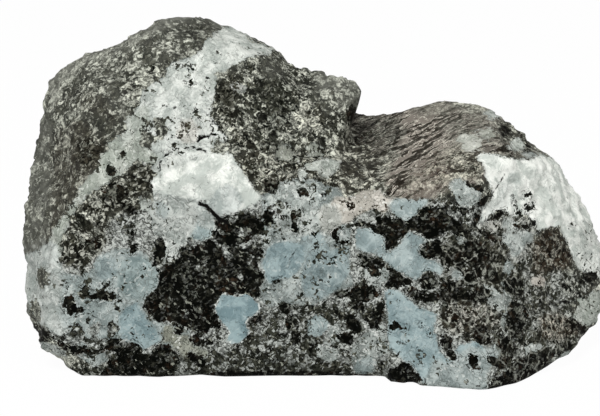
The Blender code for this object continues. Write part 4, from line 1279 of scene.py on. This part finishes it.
# Tints of the pectolite, dark and pale where there are two, with its noise, cells and shares. Scales are
# cells for each millimetre, and patches are a scale and the two noise values they pass between
pectolite = {
    "ground": (paint(124, 132, 128), paint(172, 179, 174)),
    "blue": (paint(112, 133, 137), paint(147, 166, 168)),
    "white": (paint(192, 198, 191), paint(238, 240, 233)),
    "green": paint(140, 148, 126),
    "warm": paint(176, 158, 142),
    "shade": (paint(255, 255, 255), paint(40, 44, 42)),
    "seam": paint(60, 63, 57),
    # colour of the painted highlights: tiny bright specks that stand in for light caught by the crystals
    "paintedGlint": paint(236, 238, 232),
    "rim": paint(226, 230, 224),
    "wander": (0.5, 2.4),
    "cloud": (0.30, 3.0, 0.55),
    "fibre": (1.0, 2.0, 0.6),
    "rightLeaning": ((0.0, -0.95, 0.1), (3.6, 0.5, 0.30)),  # turn, and how far drawn out
    "leftLeaning": ((0.0, 0.6, -0.1), (3.0, 0.5, 0.34)),
    "leftWhere": (0.55, 0.60),
    "cloudShares": (0.75, 0.25),  # of the cloud and the fibres
    "cloudBlend": (0.41, 0.59),
    "facetScale": 0.42,
    "chipScale": 1.1,
    "shadeShares": (0.35, 0.35, 0.30),  # of facets, chips and fibres
    "fibreBlend": (0.40, 0.60),
    "shadeDepth": (-0.40, 0.54),  # what smooth parts add to a depth, and the depth without them
    "seamWidth": (0.02, 0.08),
    "seamPatches": (0.5, 0.49, 0.55),
    "seamDepth": (-0.70, 0.85),
    # painted highlights: cell size, the share of cells that are lit, and how many there are off the smooth
    # parts
    "paintedGlintScale": 2.2,
    "paintedGlintWhere": (0.93, 0.95),
    "paintedGlintDepth": (-0.36, 0.46),
    "rimWidth": (0.10, 0.34),
    "rimPatches": (0.7, 0.42, 0.52),
    "rimDepth": 0.75,
    "lobe": {"Scale": 0.34, "Smoothness": 0.6},
    "heights": (0.6, 0.2, -8.0),  # of the cloud, the facets and the lobes of the white parts
}


# Clouded pectolite: ground, green, warm, blue and white tints mixed, each clouded by noise and fibres,
# then darkened by facet, chip and fibre, with seams, painted glints (tiny painted highlights) and a pale
# rim
def pectoliteGroup():
    tree, given, result = newGroup("clouded pectolite", ("Point", "Blue", "White", "Green", "Warm", "Rim"),
                                   ("Color", "Height"))
    point = given["Point"]
    moved = wander(point, *pectolite["wander"])
    cloud = noise(moved, *pectolite["cloud"])
    facet = crystals(moved, pectolite["facetScale"])
    chip = crystals(moved, pectolite["chipScale"])
    fibres = mixValue(rise(facet[2], *pectolite["leftWhere"]),
                      *[noise(drawnOut(moved, *pectolite[name]), *pectolite["fibre"])
                        for name in ("rightLeaning", "leftLeaning")])
    cloudShare, fibreShare = pectolite["cloudShares"]
    clouded = rise(timesPlus(cloud, cloudShare, times(fibres, fibreShare)), *pectolite["cloudBlend"])
    ground, blue, white = [blend(clouded, *pectolite[name]) for name in ("ground", "blue", "white")]
    colour = blend(given["Green"], ground, pectolite["green"])
    colour = blend(given["Warm"], colour, pectolite["warm"])
    colour = blend(given["Blue"], colour, blue)
    colour = blend(given["White"], colour, white)
    smooth = maths("MAXIMUM", given["Blue"], given["White"])
    facetShare, chipShare, fibreShare = pectolite["shadeShares"]
    broken = timesPlus(facet[0], facetShare, times(chip[1], chipShare))
    broken = timesPlus(rise(fibres, *pectolite["fibreBlend"]), fibreShare, broken)
    depth = times(rest(broken), timesPlus(smooth, *pectolite["shadeDepth"]))
    colour = blend(1.0, colour, blend(depth, *pectolite["shade"]), "MULTIPLY")
    seam = fall(seams(moved, pectolite["chipScale"]), *pectolite["seamWidth"])
    seam = times(seam, patches(point, *pectolite["seamPatches"]))
    seam = times(seam, timesPlus(smooth, *pectolite["seamDepth"]))
    colour = blend(seam, colour, pectolite["seam"])
    # painted highlights: a few crystal cells turned nearly white, more of them where the stone is not
    # smooth blue or white
    paintedGlint = rise(crystals(moved, pectolite["paintedGlintScale"])[2], *pectolite["paintedGlintWhere"])
    paintedGlint = times(paintedGlint, timesPlus(smooth, *pectolite["paintedGlintDepth"]))
    colour = blend(paintedGlint, colour, pectolite["paintedGlint"])
    rim = times(fall(given["Rim"], *pectolite["rimWidth"]), patches(point, *pectolite["rimPatches"]))
    colour = blend(times(rim, pectolite["rimDepth"]), colour, pectolite["rim"])
    lobes = addNode("ShaderNodeTexVoronoi", {"Vector": moved, **pectolite["lobe"]},
                    feature="SMOOTH_F1").outputs["Distance"]
    cloudHeight, facetHeight, lobeHeight = pectolite["heights"]
    height = timesPlus(cloud, cloudHeight, times(facet[0], facetHeight))
    height = timesPlus(times(lobes, given["White"]), lobeHeight, height)
    fillInputs(result, {"Color": colour, "Height": height})
    return tree


# Numbers of the streaks
streaks = {
    "wander": (0.35, 2.2),
    "along": ((0.0, -0.28, 0.54), (4.6, 0.80, 0.80)),
    "drawn": (0.75, 3.0, 0.60),
    "bandBlend": (0.45, 0.55),
    "lineAt": 0.53,  # the noise value that the thin lines follow
    "lineWidth": (0.006, 0.030),
    "linePatches": (0.9, 0.42, 0.50),
}


# Streaks of the slope: noise drawn out along one direction in the stone. Band is broad and soft, and Line
# is thin, where the noise passes one value
def streakGroup():
    tree, given, result = newGroup("streaks", ("Point",), ("Band", "Line"))
    moved = wander(given["Point"], *streaks["wander"])
    drawn = noise(drawnOut(moved, *streaks["along"]), *streaks["drawn"])
    line = fall(maths("ABSOLUTE", past(drawn, streaks["lineAt"])), *streaks["lineWidth"])
    fillInputs(result, {
        "Band": rise(drawn, *streaks["bandBlend"]),
        "Line": times(line, patches(moved, *streaks["linePatches"])),
    })
    return tree


# Numbers and tints of the weathering
weathering = {
    "noise": (0.55, 4.0, 0.65),
    "blend": (0.30, 0.70),
    "depth": (0.4, 0.20),  # what the thick patches add, and the depth of the thin ones
    "dust": (paint(122, 123, 115), paint(128, 112, 98)),  # grey, and where the stone is warm
}


# Weathering: a dusty film, thicker in some places than others. Along the top edges, where the haze is
# strongest, it is partly painted light as well as dust
def weatherGroup():
    tree, given, result = newGroup("weathering", ("Point", "Color", "Haze", "Warm"), ("Color",))
    thick = rise(noise(given["Point"], *weathering["noise"]), *weathering["blend"])
    amount = times(given["Haze"], timesPlus(thick, *weathering["depth"]))
    dust = blend(given["Warm"], *weathering["dust"])
    fillInputs(result, {"Color": blend(amount, given["Color"], dust)})
    return tree


# Bump and roughness of the stone, and how far its ragged edges wander
stoneFinish = {
    "polishedRoughness": 0.36,
    "brokenRoughness": 0.78,
    "grainRoughness": 0.18,
    "grainHeight": 0.16,
    "polishedGrainHeight": 0.05,
    "windowFlatness": -0.75,  # what a window adds to the share of the grains' height
    "cloudedHeight": 0.04,
    "bumpDistance": 0.001,  # metres
    "windowEdge": {"Wander": 0.20, "Softness": 0.06},
    "darkEdge": {"Wander": 0.17, "Softness": 0.05},
    "crackEdge": {"Wander": 0.06, "Softness": 0.10},
    "specular": 0.02,
    "dust": 0.02,
    "dustRoughness": 0.35,
}

# Colours of the crystals
tints = {
    "black": paint(4, 5, 3),
    "darkGrey": paint(70, 72, 62),
    "blackGrey": paint(40, 41, 34),
    "massGrey": paint(60, 61, 53),
    "netLine": paint(150, 152, 142),
    "warmBlack": paint(12, 7, 4),
    "warmGrey": paint(74, 56, 42),
    "speck": paint(140, 142, 130),
    "paleSeam": paint(112, 112, 98),
    "paleGrain": paint(240, 242, 226),
    "coolGrain": paint(230, 234, 228),
    "warmGrain": paint(232, 214, 186),
    "darkSeam": paint(24, 26, 21),
    "shadedPale": paint(82, 86, 78),
    "streakDark": paint(36, 32, 26),
    "streakGrey": paint(132, 129, 120),
    "streakPink": paint(144, 130, 121),
    "streakPale": paint(222, 217, 203),
    "crack": paint(14, 14, 12),
}

# Shares of the crystals' colours. Patches are a noise scale and the two values that they pass between,
# Where and Width are the two values that a mask passes between, and a pair that falls marks low values.
# Other pairs, unless a note says more, are a share outside the dark masses and one inside them
tones = {
    "darkMassPale": 0.04,
    "darkPower": (1.9, 4.0),
    "blackPatches": (0.26, 0.54, 0.42),
    "warmPatches": (0.4, 0.52, 0.62),
    "warmPatch": 0.6,
    "seamPatches": (0.9, 0.46, 0.58),
    "paleSeam": (0.45, 0.15),
    "speck": 0.8,
    "netWander": (0.8, 1.4),  # noise scale, and millimetres
    "netScale": 0.42,
    "netWidth": (0.02, 0.09),
    "netPatches": (0.6, 0.44, 0.56),
    "coolGrain": 0.65,
    "coolWhere": (0.1, 0.6),  # of the polish
    "warmGrain": 0.7,
    "lightWhere": (-0.02, 0.50),  # of the order
    "light": (0.4, 0.6),  # shares of the order and the tone
    "lightPower": 1.2,
    "darkSeam": 0.65,
    "windowHair": {"Scale": 0.33, "Width": 0.008, "Share": 0.4},
    "windowHairDepth": 0.6,
    "curl": {"Scale": 0.75, "Width": 0.015, "Share": 0.55},
    "curlDepth": (-0.85, 0.80),  # what plain blue and white add, and the depth without them
    "besideAt": 0.46,  # how far outside the dark masses their broken line runs
    "besideWidth": (0.05, 0.14),
    "besidePatches": (0.7, 0.48, 0.54),
    "beside": 0.85,
    "paleInMass": 0.6,
    "paleWhere": (-0.015, 0.015),  # of the order
    "lathHazeWhere": (0.6, 0.0),
    "darkLathWhere": (0.34, 0.26),
    "darkLath": 0.60,
    "paleLathWhere": (0.76, 0.84),
    "paleLath": (0.50, 0.08),
    "palePartsWhere": (0.05, 0.35),
    "streak": 0.88,
    "streakLight": 0.55,  # brightness of the streaks where no grain is pale
    "streakLine": 0.85,
    "windowBare": 0.8,
    "bareHaze": (-0.9, 1.0),  # what bare parts add to the haze's share, and the share without them
}


# The dark crystals: black to grey, brown where it is warm, with pale seams, specks and a net of lines
def darkTones(point, mark, inDark, grains, patchy):
    tone = maths("POWER", grains["Tone"], mixValue(inDark, *tones["darkPower"]))
    mass = blend(mark["net"], tints["blackGrey"], tints["massGrey"])
    mass = blend(patches(point, *tones["blackPatches"]), mass, tints["black"])
    warmPatch = times(patches(point, *tones["warmPatches"]), tones["warmPatch"])
    mass = blend(warmPatch, mass, tints["warmGrey"])
    grey = blend(inDark, tints["darkGrey"], mass)
    colour = blend(mark["warm"], blend(tone, tints["black"], grey),
                   blend(tone, tints["warmBlack"], tints["warmGrey"]))
    seam = times(patchy, mixValue(inDark, *tones["paleSeam"]))
    colour = blend(times(grains["Seam"], seam), colour, tints["paleSeam"])
    colour = blend(times(grains["Speck"], tones["speck"]), colour, tints["speck"])
    cellEdge = seams(wander(point, *tones["netWander"]), tones["netScale"])
    shown = times(mark["net"], patches(point, *tones["netPatches"]))
    net = times(fall(cellEdge, *tones["netWidth"]), shown)
    return blend(net, colour, tints["netLine"])


# The brightest of the pale crystals: cooler where it is polished, creamier where it is warm
def brightTone(mark, clouded):
    cool = blend(tones["coolGrain"], clouded, tints["coolGrain"])
    colour = blend(rise(mark["polish"], *tones["coolWhere"]), tints["paleGrain"], cool)
    return blend(times(mark["warm"], tones["warmGrain"]), colour, tints["warmGrain"])


# The pale crystals: shaded to bright with dark seams between them, clouded pectolite in the windows,
# curling dark lines over both, and a broken dark line beside the dark masses
def paleTones(point, mark, inWindow, dark, grains, clouded, bright):
    orderShare, toneShare = tones["light"]
    light = timesPlus(rise(grains["Order"], *tones["lightWhere"]), orderShare,
                      times(grains["Tone"], toneShare))
    light = maths("POWER", light, tones["lightPower"])
    grainy = blend(light, tints["shadedPale"], bright)
    grainy = blend(times(grains["Seam"], tones["darkSeam"]), grainy, tints["darkSeam"])
    hairs = hairLineGroup()
    hair = placeGroup(hairs, {"Point": point, **tones["windowHair"]})["Mask"]
    smooth = blend(times(hair, tones["windowHairDepth"]), clouded, tints["darkSeam"])
    colour = blend(inWindow, grainy, smooth)
    curl = placeGroup(hairs, {"Point": point, **tones["curl"]})["Mask"]
    plain = maths("MAXIMUM", mark["blue"], mark["white"])
    curl = times(curl, timesPlus(plain, *tones["curlDepth"]))
    colour = blend(curl, colour, tints["darkSeam"])
    beside = maths("ABSOLUTE", maths("ADD", dark["Reach"], tones["besideAt"]))
    line = times(fall(beside, *tones["besideWidth"]), patches(point, *tones["besidePatches"]))
    colour = blend(times(line, tones["beside"]), colour, tints["darkSeam"])
    return blend(times(dark["Mask"], tones["paleInMass"]), colour, tints["darkGrey"])


# Colours of the crystals: dark or pale by their order, then thin dark and pale laths over them where
# the stone is clean and outside the windows
def stoneTones(point, mark, inWindow, dark, grains, clouded):
    patchy = patches(point, *tones["seamPatches"])
    bright = brightTone(mark, clouded)
    colour = blend(rise(grains["Order"], *tones["paleWhere"]),
                   darkTones(point, mark, dark["Mask"], grains, patchy),
                   paleTones(point, mark, inWindow, dark, grains, clouded, bright))
    clean = times(rest(inWindow), rise(mark["haze"], *tones["lathHazeWhere"]))
    darkLath = times(rise(grains["Lath"], *tones["darkLathWhere"]), times(clean, tones["darkLath"]))
    paleLath = times(rise(grains["Lath"], *tones["paleLathWhere"]),
                     times(clean, mixValue(dark["Mask"], *tones["paleLath"])))
    paleLath = times(paleLath, rise(mark["pale"], *tones["palePartsWhere"]))
    colour = blend(darkLath, colour, tints["black"])
    return blend(times(paleLath, patchy), colour, bright)


# Streaks over a colour: dark and grey bands, pink where it is warm, and thin pale lines between them
def streaked(point, mark, inWindow, colour):
    drawn = placeGroup(streakGroup(), {"Point": point})
    light = blend(mark["warm"], tints["streakGrey"], tints["streakPink"])
    bands = blend(1.0, blend(drawn["Band"], tints["streakDark"], light),
                  maths("ADD", mark["pale"], tones["streakLight"]), "MULTIPLY")
    share = times(times(mark["streak"], tones["streak"]), rest(inWindow))
    line = times(drawn["Line"], maths("SUBTRACT", tones["streakLine"], inWindow))
    return blend(times(mark["streak"], line), blend(share, colour, bands), tints["streakPale"])


# The whole stone's material: crystals and windows, dark masses among them, streaks, weathering, cracks
def stoneMaterial():
    material = bpy.data.materials.new("larimar and basalt")
    material.use_nodes = True
    tree = material.node_tree
    shader = tree.nodes["Principled BSDF"]
    place = tree.nodes.new("ShaderNodeTexCoord").outputs["Object"]
    point = vectorMaths("SCALE", {0: place, "Scale": perMetre})
    mark = {}
    for name in (*groundMarks, *edgeMarks, "windowPale"):
        kept = tree.nodes.new("ShaderNodeAttribute")
        kept.attribute_name = name
        mark[name] = kept.outputs["Fac"]
    ragged = raggedEdgeGroup()
    window, dark, crack = [
        placeGroup(ragged, {"Point": point, "Distance": mark[name], **stoneFinish[name]})
        for name in ("windowEdge", "darkEdge", "crackEdge")]
    inWindow = window["Mask"]
    pale = mixValue(inWindow, mark["pale"], mark["windowPale"])
    pale = mixValue(dark["Mask"], pale, tones["darkMassPale"])
    grains = placeGroup(grainGroup(), {"Point": point, "Pale Share": pale})
    clouded = placeGroup(pectoliteGroup(), {"Point": point, "Blue": mark["blue"],
                                            "White": mark["white"], "Green": mark["green"],
                                            "Warm": mark["warm"], "Rim": mark["rimEdge"]})
    colour = stoneTones(point, mark, inWindow, dark, grains, clouded["Color"])
    colour = streaked(point, mark, inWindow, colour)
    bare = maths("MAXIMUM", dark["Mask"], times(inWindow, tones["windowBare"]))
    haze = times(mark["haze"], timesPlus(bare, *tones["bareHaze"]))
    colour = placeGroup(weatherGroup(), {"Point": point, "Color": colour, "Haze": haze,
                                         "Warm": mark["warm"]})["Color"]
    colour = blend(crack["Mask"], colour, tints["crack"])
    rough = mixValue(mark["polish"], stoneFinish["brokenRoughness"], stoneFinish["polishedRoughness"])
    rough = timesPlus(past(grains["Tone"]), stoneFinish["grainRoughness"], rough)
    grainHeight = mixValue(mark["polish"], stoneFinish["grainHeight"],
                           stoneFinish["polishedGrainHeight"])
    flatter = timesPlus(inWindow, stoneFinish["windowFlatness"], 1.0)
    height = times(grains["Height"], times(grainHeight, flatter))
    height = timesPlus(clouded["Height"], stoneFinish["cloudedHeight"], height)
    bump = addNode("ShaderNodeBump", {"Height": height, "Distance": stoneFinish["bumpDistance"],
                                      "Strength": 1.0})
    fillInputs(shader, {
        "Base Color": colour,
        "Roughness": rough,
        "Normal": bump.outputs["Normal"],
        "Specular IOR Level": stoneFinish["specular"],
        "Sheen Weight": stoneFinish["dust"],
        "Sheen Roughness": stoneFinish["dustRoughness"],
    })
    return material


# The stone's mesh from its points and squares, with its marks and its material
def makeStone():
    rays, faces = sheetRays()
    points, marks, middle, scale = stoneSurface(rays)
    mesh = bpy.data.meshes.new("stone")
    mesh.vertices.add(len(points))
    mesh.vertices.foreach_set("co", (points / perMetre).astype(np.float32).ravel())
    mesh.loops.add(faces.size)
    mesh.loops.foreach_set("vertex_index", faces.astype(np.int32).ravel())
    mesh.polygons.add(len(faces))
    mesh.polygons.foreach_set("loop_start", np.arange(0, faces.size, 4, dtype=np.int32))
    mesh.update(calc_edges=True)
    mesh.validate()
    for name, values in marks.items():
        attribute = mesh.attributes.new(name, "FLOAT", "POINT")
        attribute.data.foreach_set("value", values.astype(np.float32))
    mesh.shade_smooth()
    mesh.materials.append(stoneMaterial())
    stone = bpy.data.objects.new("stone_skin", mesh)
    bpy.context.scene.collection.objects.link(stone)
    return stone, middle, scale


stone, stoneMiddle, stoneScale = makeStone()
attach(stone, "root")
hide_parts("larimar_stone")
print("stone made:", len(stone.data.polygons), "squares, middle", stoneMiddle, "scale", stoneScale)

# Soft studio light: sizes and distances in metres, power in watts
studio = {
    "floorSize": 8.0,
    "floorColour": (0.8, 0.8, 0.8, 1.0),
    "floorRoughness": 0.9,
    "floorGlow": 0.97,
    "worldStrength": 0.40,
    "white": (1.0, 1.0, 1.0, 1.0),
    "key": {"place": (-0.22, -0.35, 0.75), "size": 0.22, "power": 5.4},
    "fill": {"place": (0.55, -0.50, 0.35), "size": 0.50, "power": 1.9},
    "lightsAim": (0.0, 0.0, 0.03),
}
frontCamera = {"sensor": 36.0, "nearest": 0.01}


# A wide pale floor, which the camera sees nearly as bright as the world
def makeFloor():
    half = studio["floorSize"] / 2.0
    mesh = bpy.data.meshes.new("floor")
    mesh.from_pydata([(-half, -half, 0), (half, -half, 0), (half, half, 0), (-half, half, 0)], [],
                     [(0, 1, 2, 3)])
    material = bpy.data.materials.new("pale floor")
    material.use_nodes = True
    tree = material.node_tree
    shader = tree.nodes["Principled BSDF"]
    fillInputs(shader, {"Base Color": studio["floorColour"], "Roughness": studio["floorRoughness"]})
    glow = tree.nodes.new("ShaderNodeEmission")
    fillInputs(glow, {"Color": studio["white"], "Strength": 1.0})
    seen = tree.nodes.new("ShaderNodeLightPath").outputs["Is Camera Ray"]
    share = times(seen, studio["floorGlow"])
    mixed = addNode("ShaderNodeMixShader", {0: share, 1: shader.outputs[0], 2: glow.outputs[0]})
    tree.links.new(mixed.outputs[0], tree.nodes["Material Output"].inputs["Surface"])
    mesh.materials.append(material)
    floor = bpy.data.objects.new("floor", mesh)
    bpy.context.scene.collection.objects.link(floor)


# Turns an object's -Z axis to a target, its Y axis as near up as it can be
def aimAt(thing, target):
    direction = Vector(target) - thing.location
    thing.rotation_euler = direction.to_track_quat("-Z", "Y").to_euler()


# A round area light turned to the stone
def makeLight(name, place, size, power):
    light = bpy.data.lights.new(name, "AREA")
    light.shape = "DISK"
    light.size = size
    light.energy = power
    lamp = bpy.data.objects.new(name, light)
    bpy.context.scene.collection.objects.link(lamp)
    lamp.location = place
    aimAt(lamp, studio["lightsAim"])


# White surroundings: full white to the camera, dimmer as light
def makeWorld():
    world = bpy.data.worlds.new("white studio")
    world.use_nodes = True
    tree = world.node_tree
    seen = tree.nodes.new("ShaderNodeLightPath").outputs["Is Camera Ray"]
    strength = mixValue(seen, studio["worldStrength"], 1.0)
    fillInputs(tree.nodes["Background"], {"Color": studio["white"], "Strength": strength})
    bpy.context.scene.world = world


# The camera stands where the front view was taken from, moved and scaled as the stone was
def makeCamera():
    camera = bpy.data.cameras.new("front view")
    camera.sensor_width = frontCamera["sensor"]
    camera.lens = viewFocal * camera.sensor_width / (2.0 * viewMiddle[0])
    camera.clip_start = frontCamera["nearest"]
    seer = bpy.data.objects.new("front view", camera)
    bpy.context.scene.collection.objects.link(seer)
    seer.location = (eye - stoneMiddle) * stoneScale / perMetre
    aimAt(seer, (aim - stoneMiddle) * stoneScale / perMetre)
    bpy.context.scene.camera = seer


makeFloor()
makeLight("key light", **studio["key"])
makeLight("fill light", **studio["fill"])
makeWorld()
makeCamera()
bpy.context.scene.view_settings.view_transform = "Standard"
print("studio made")
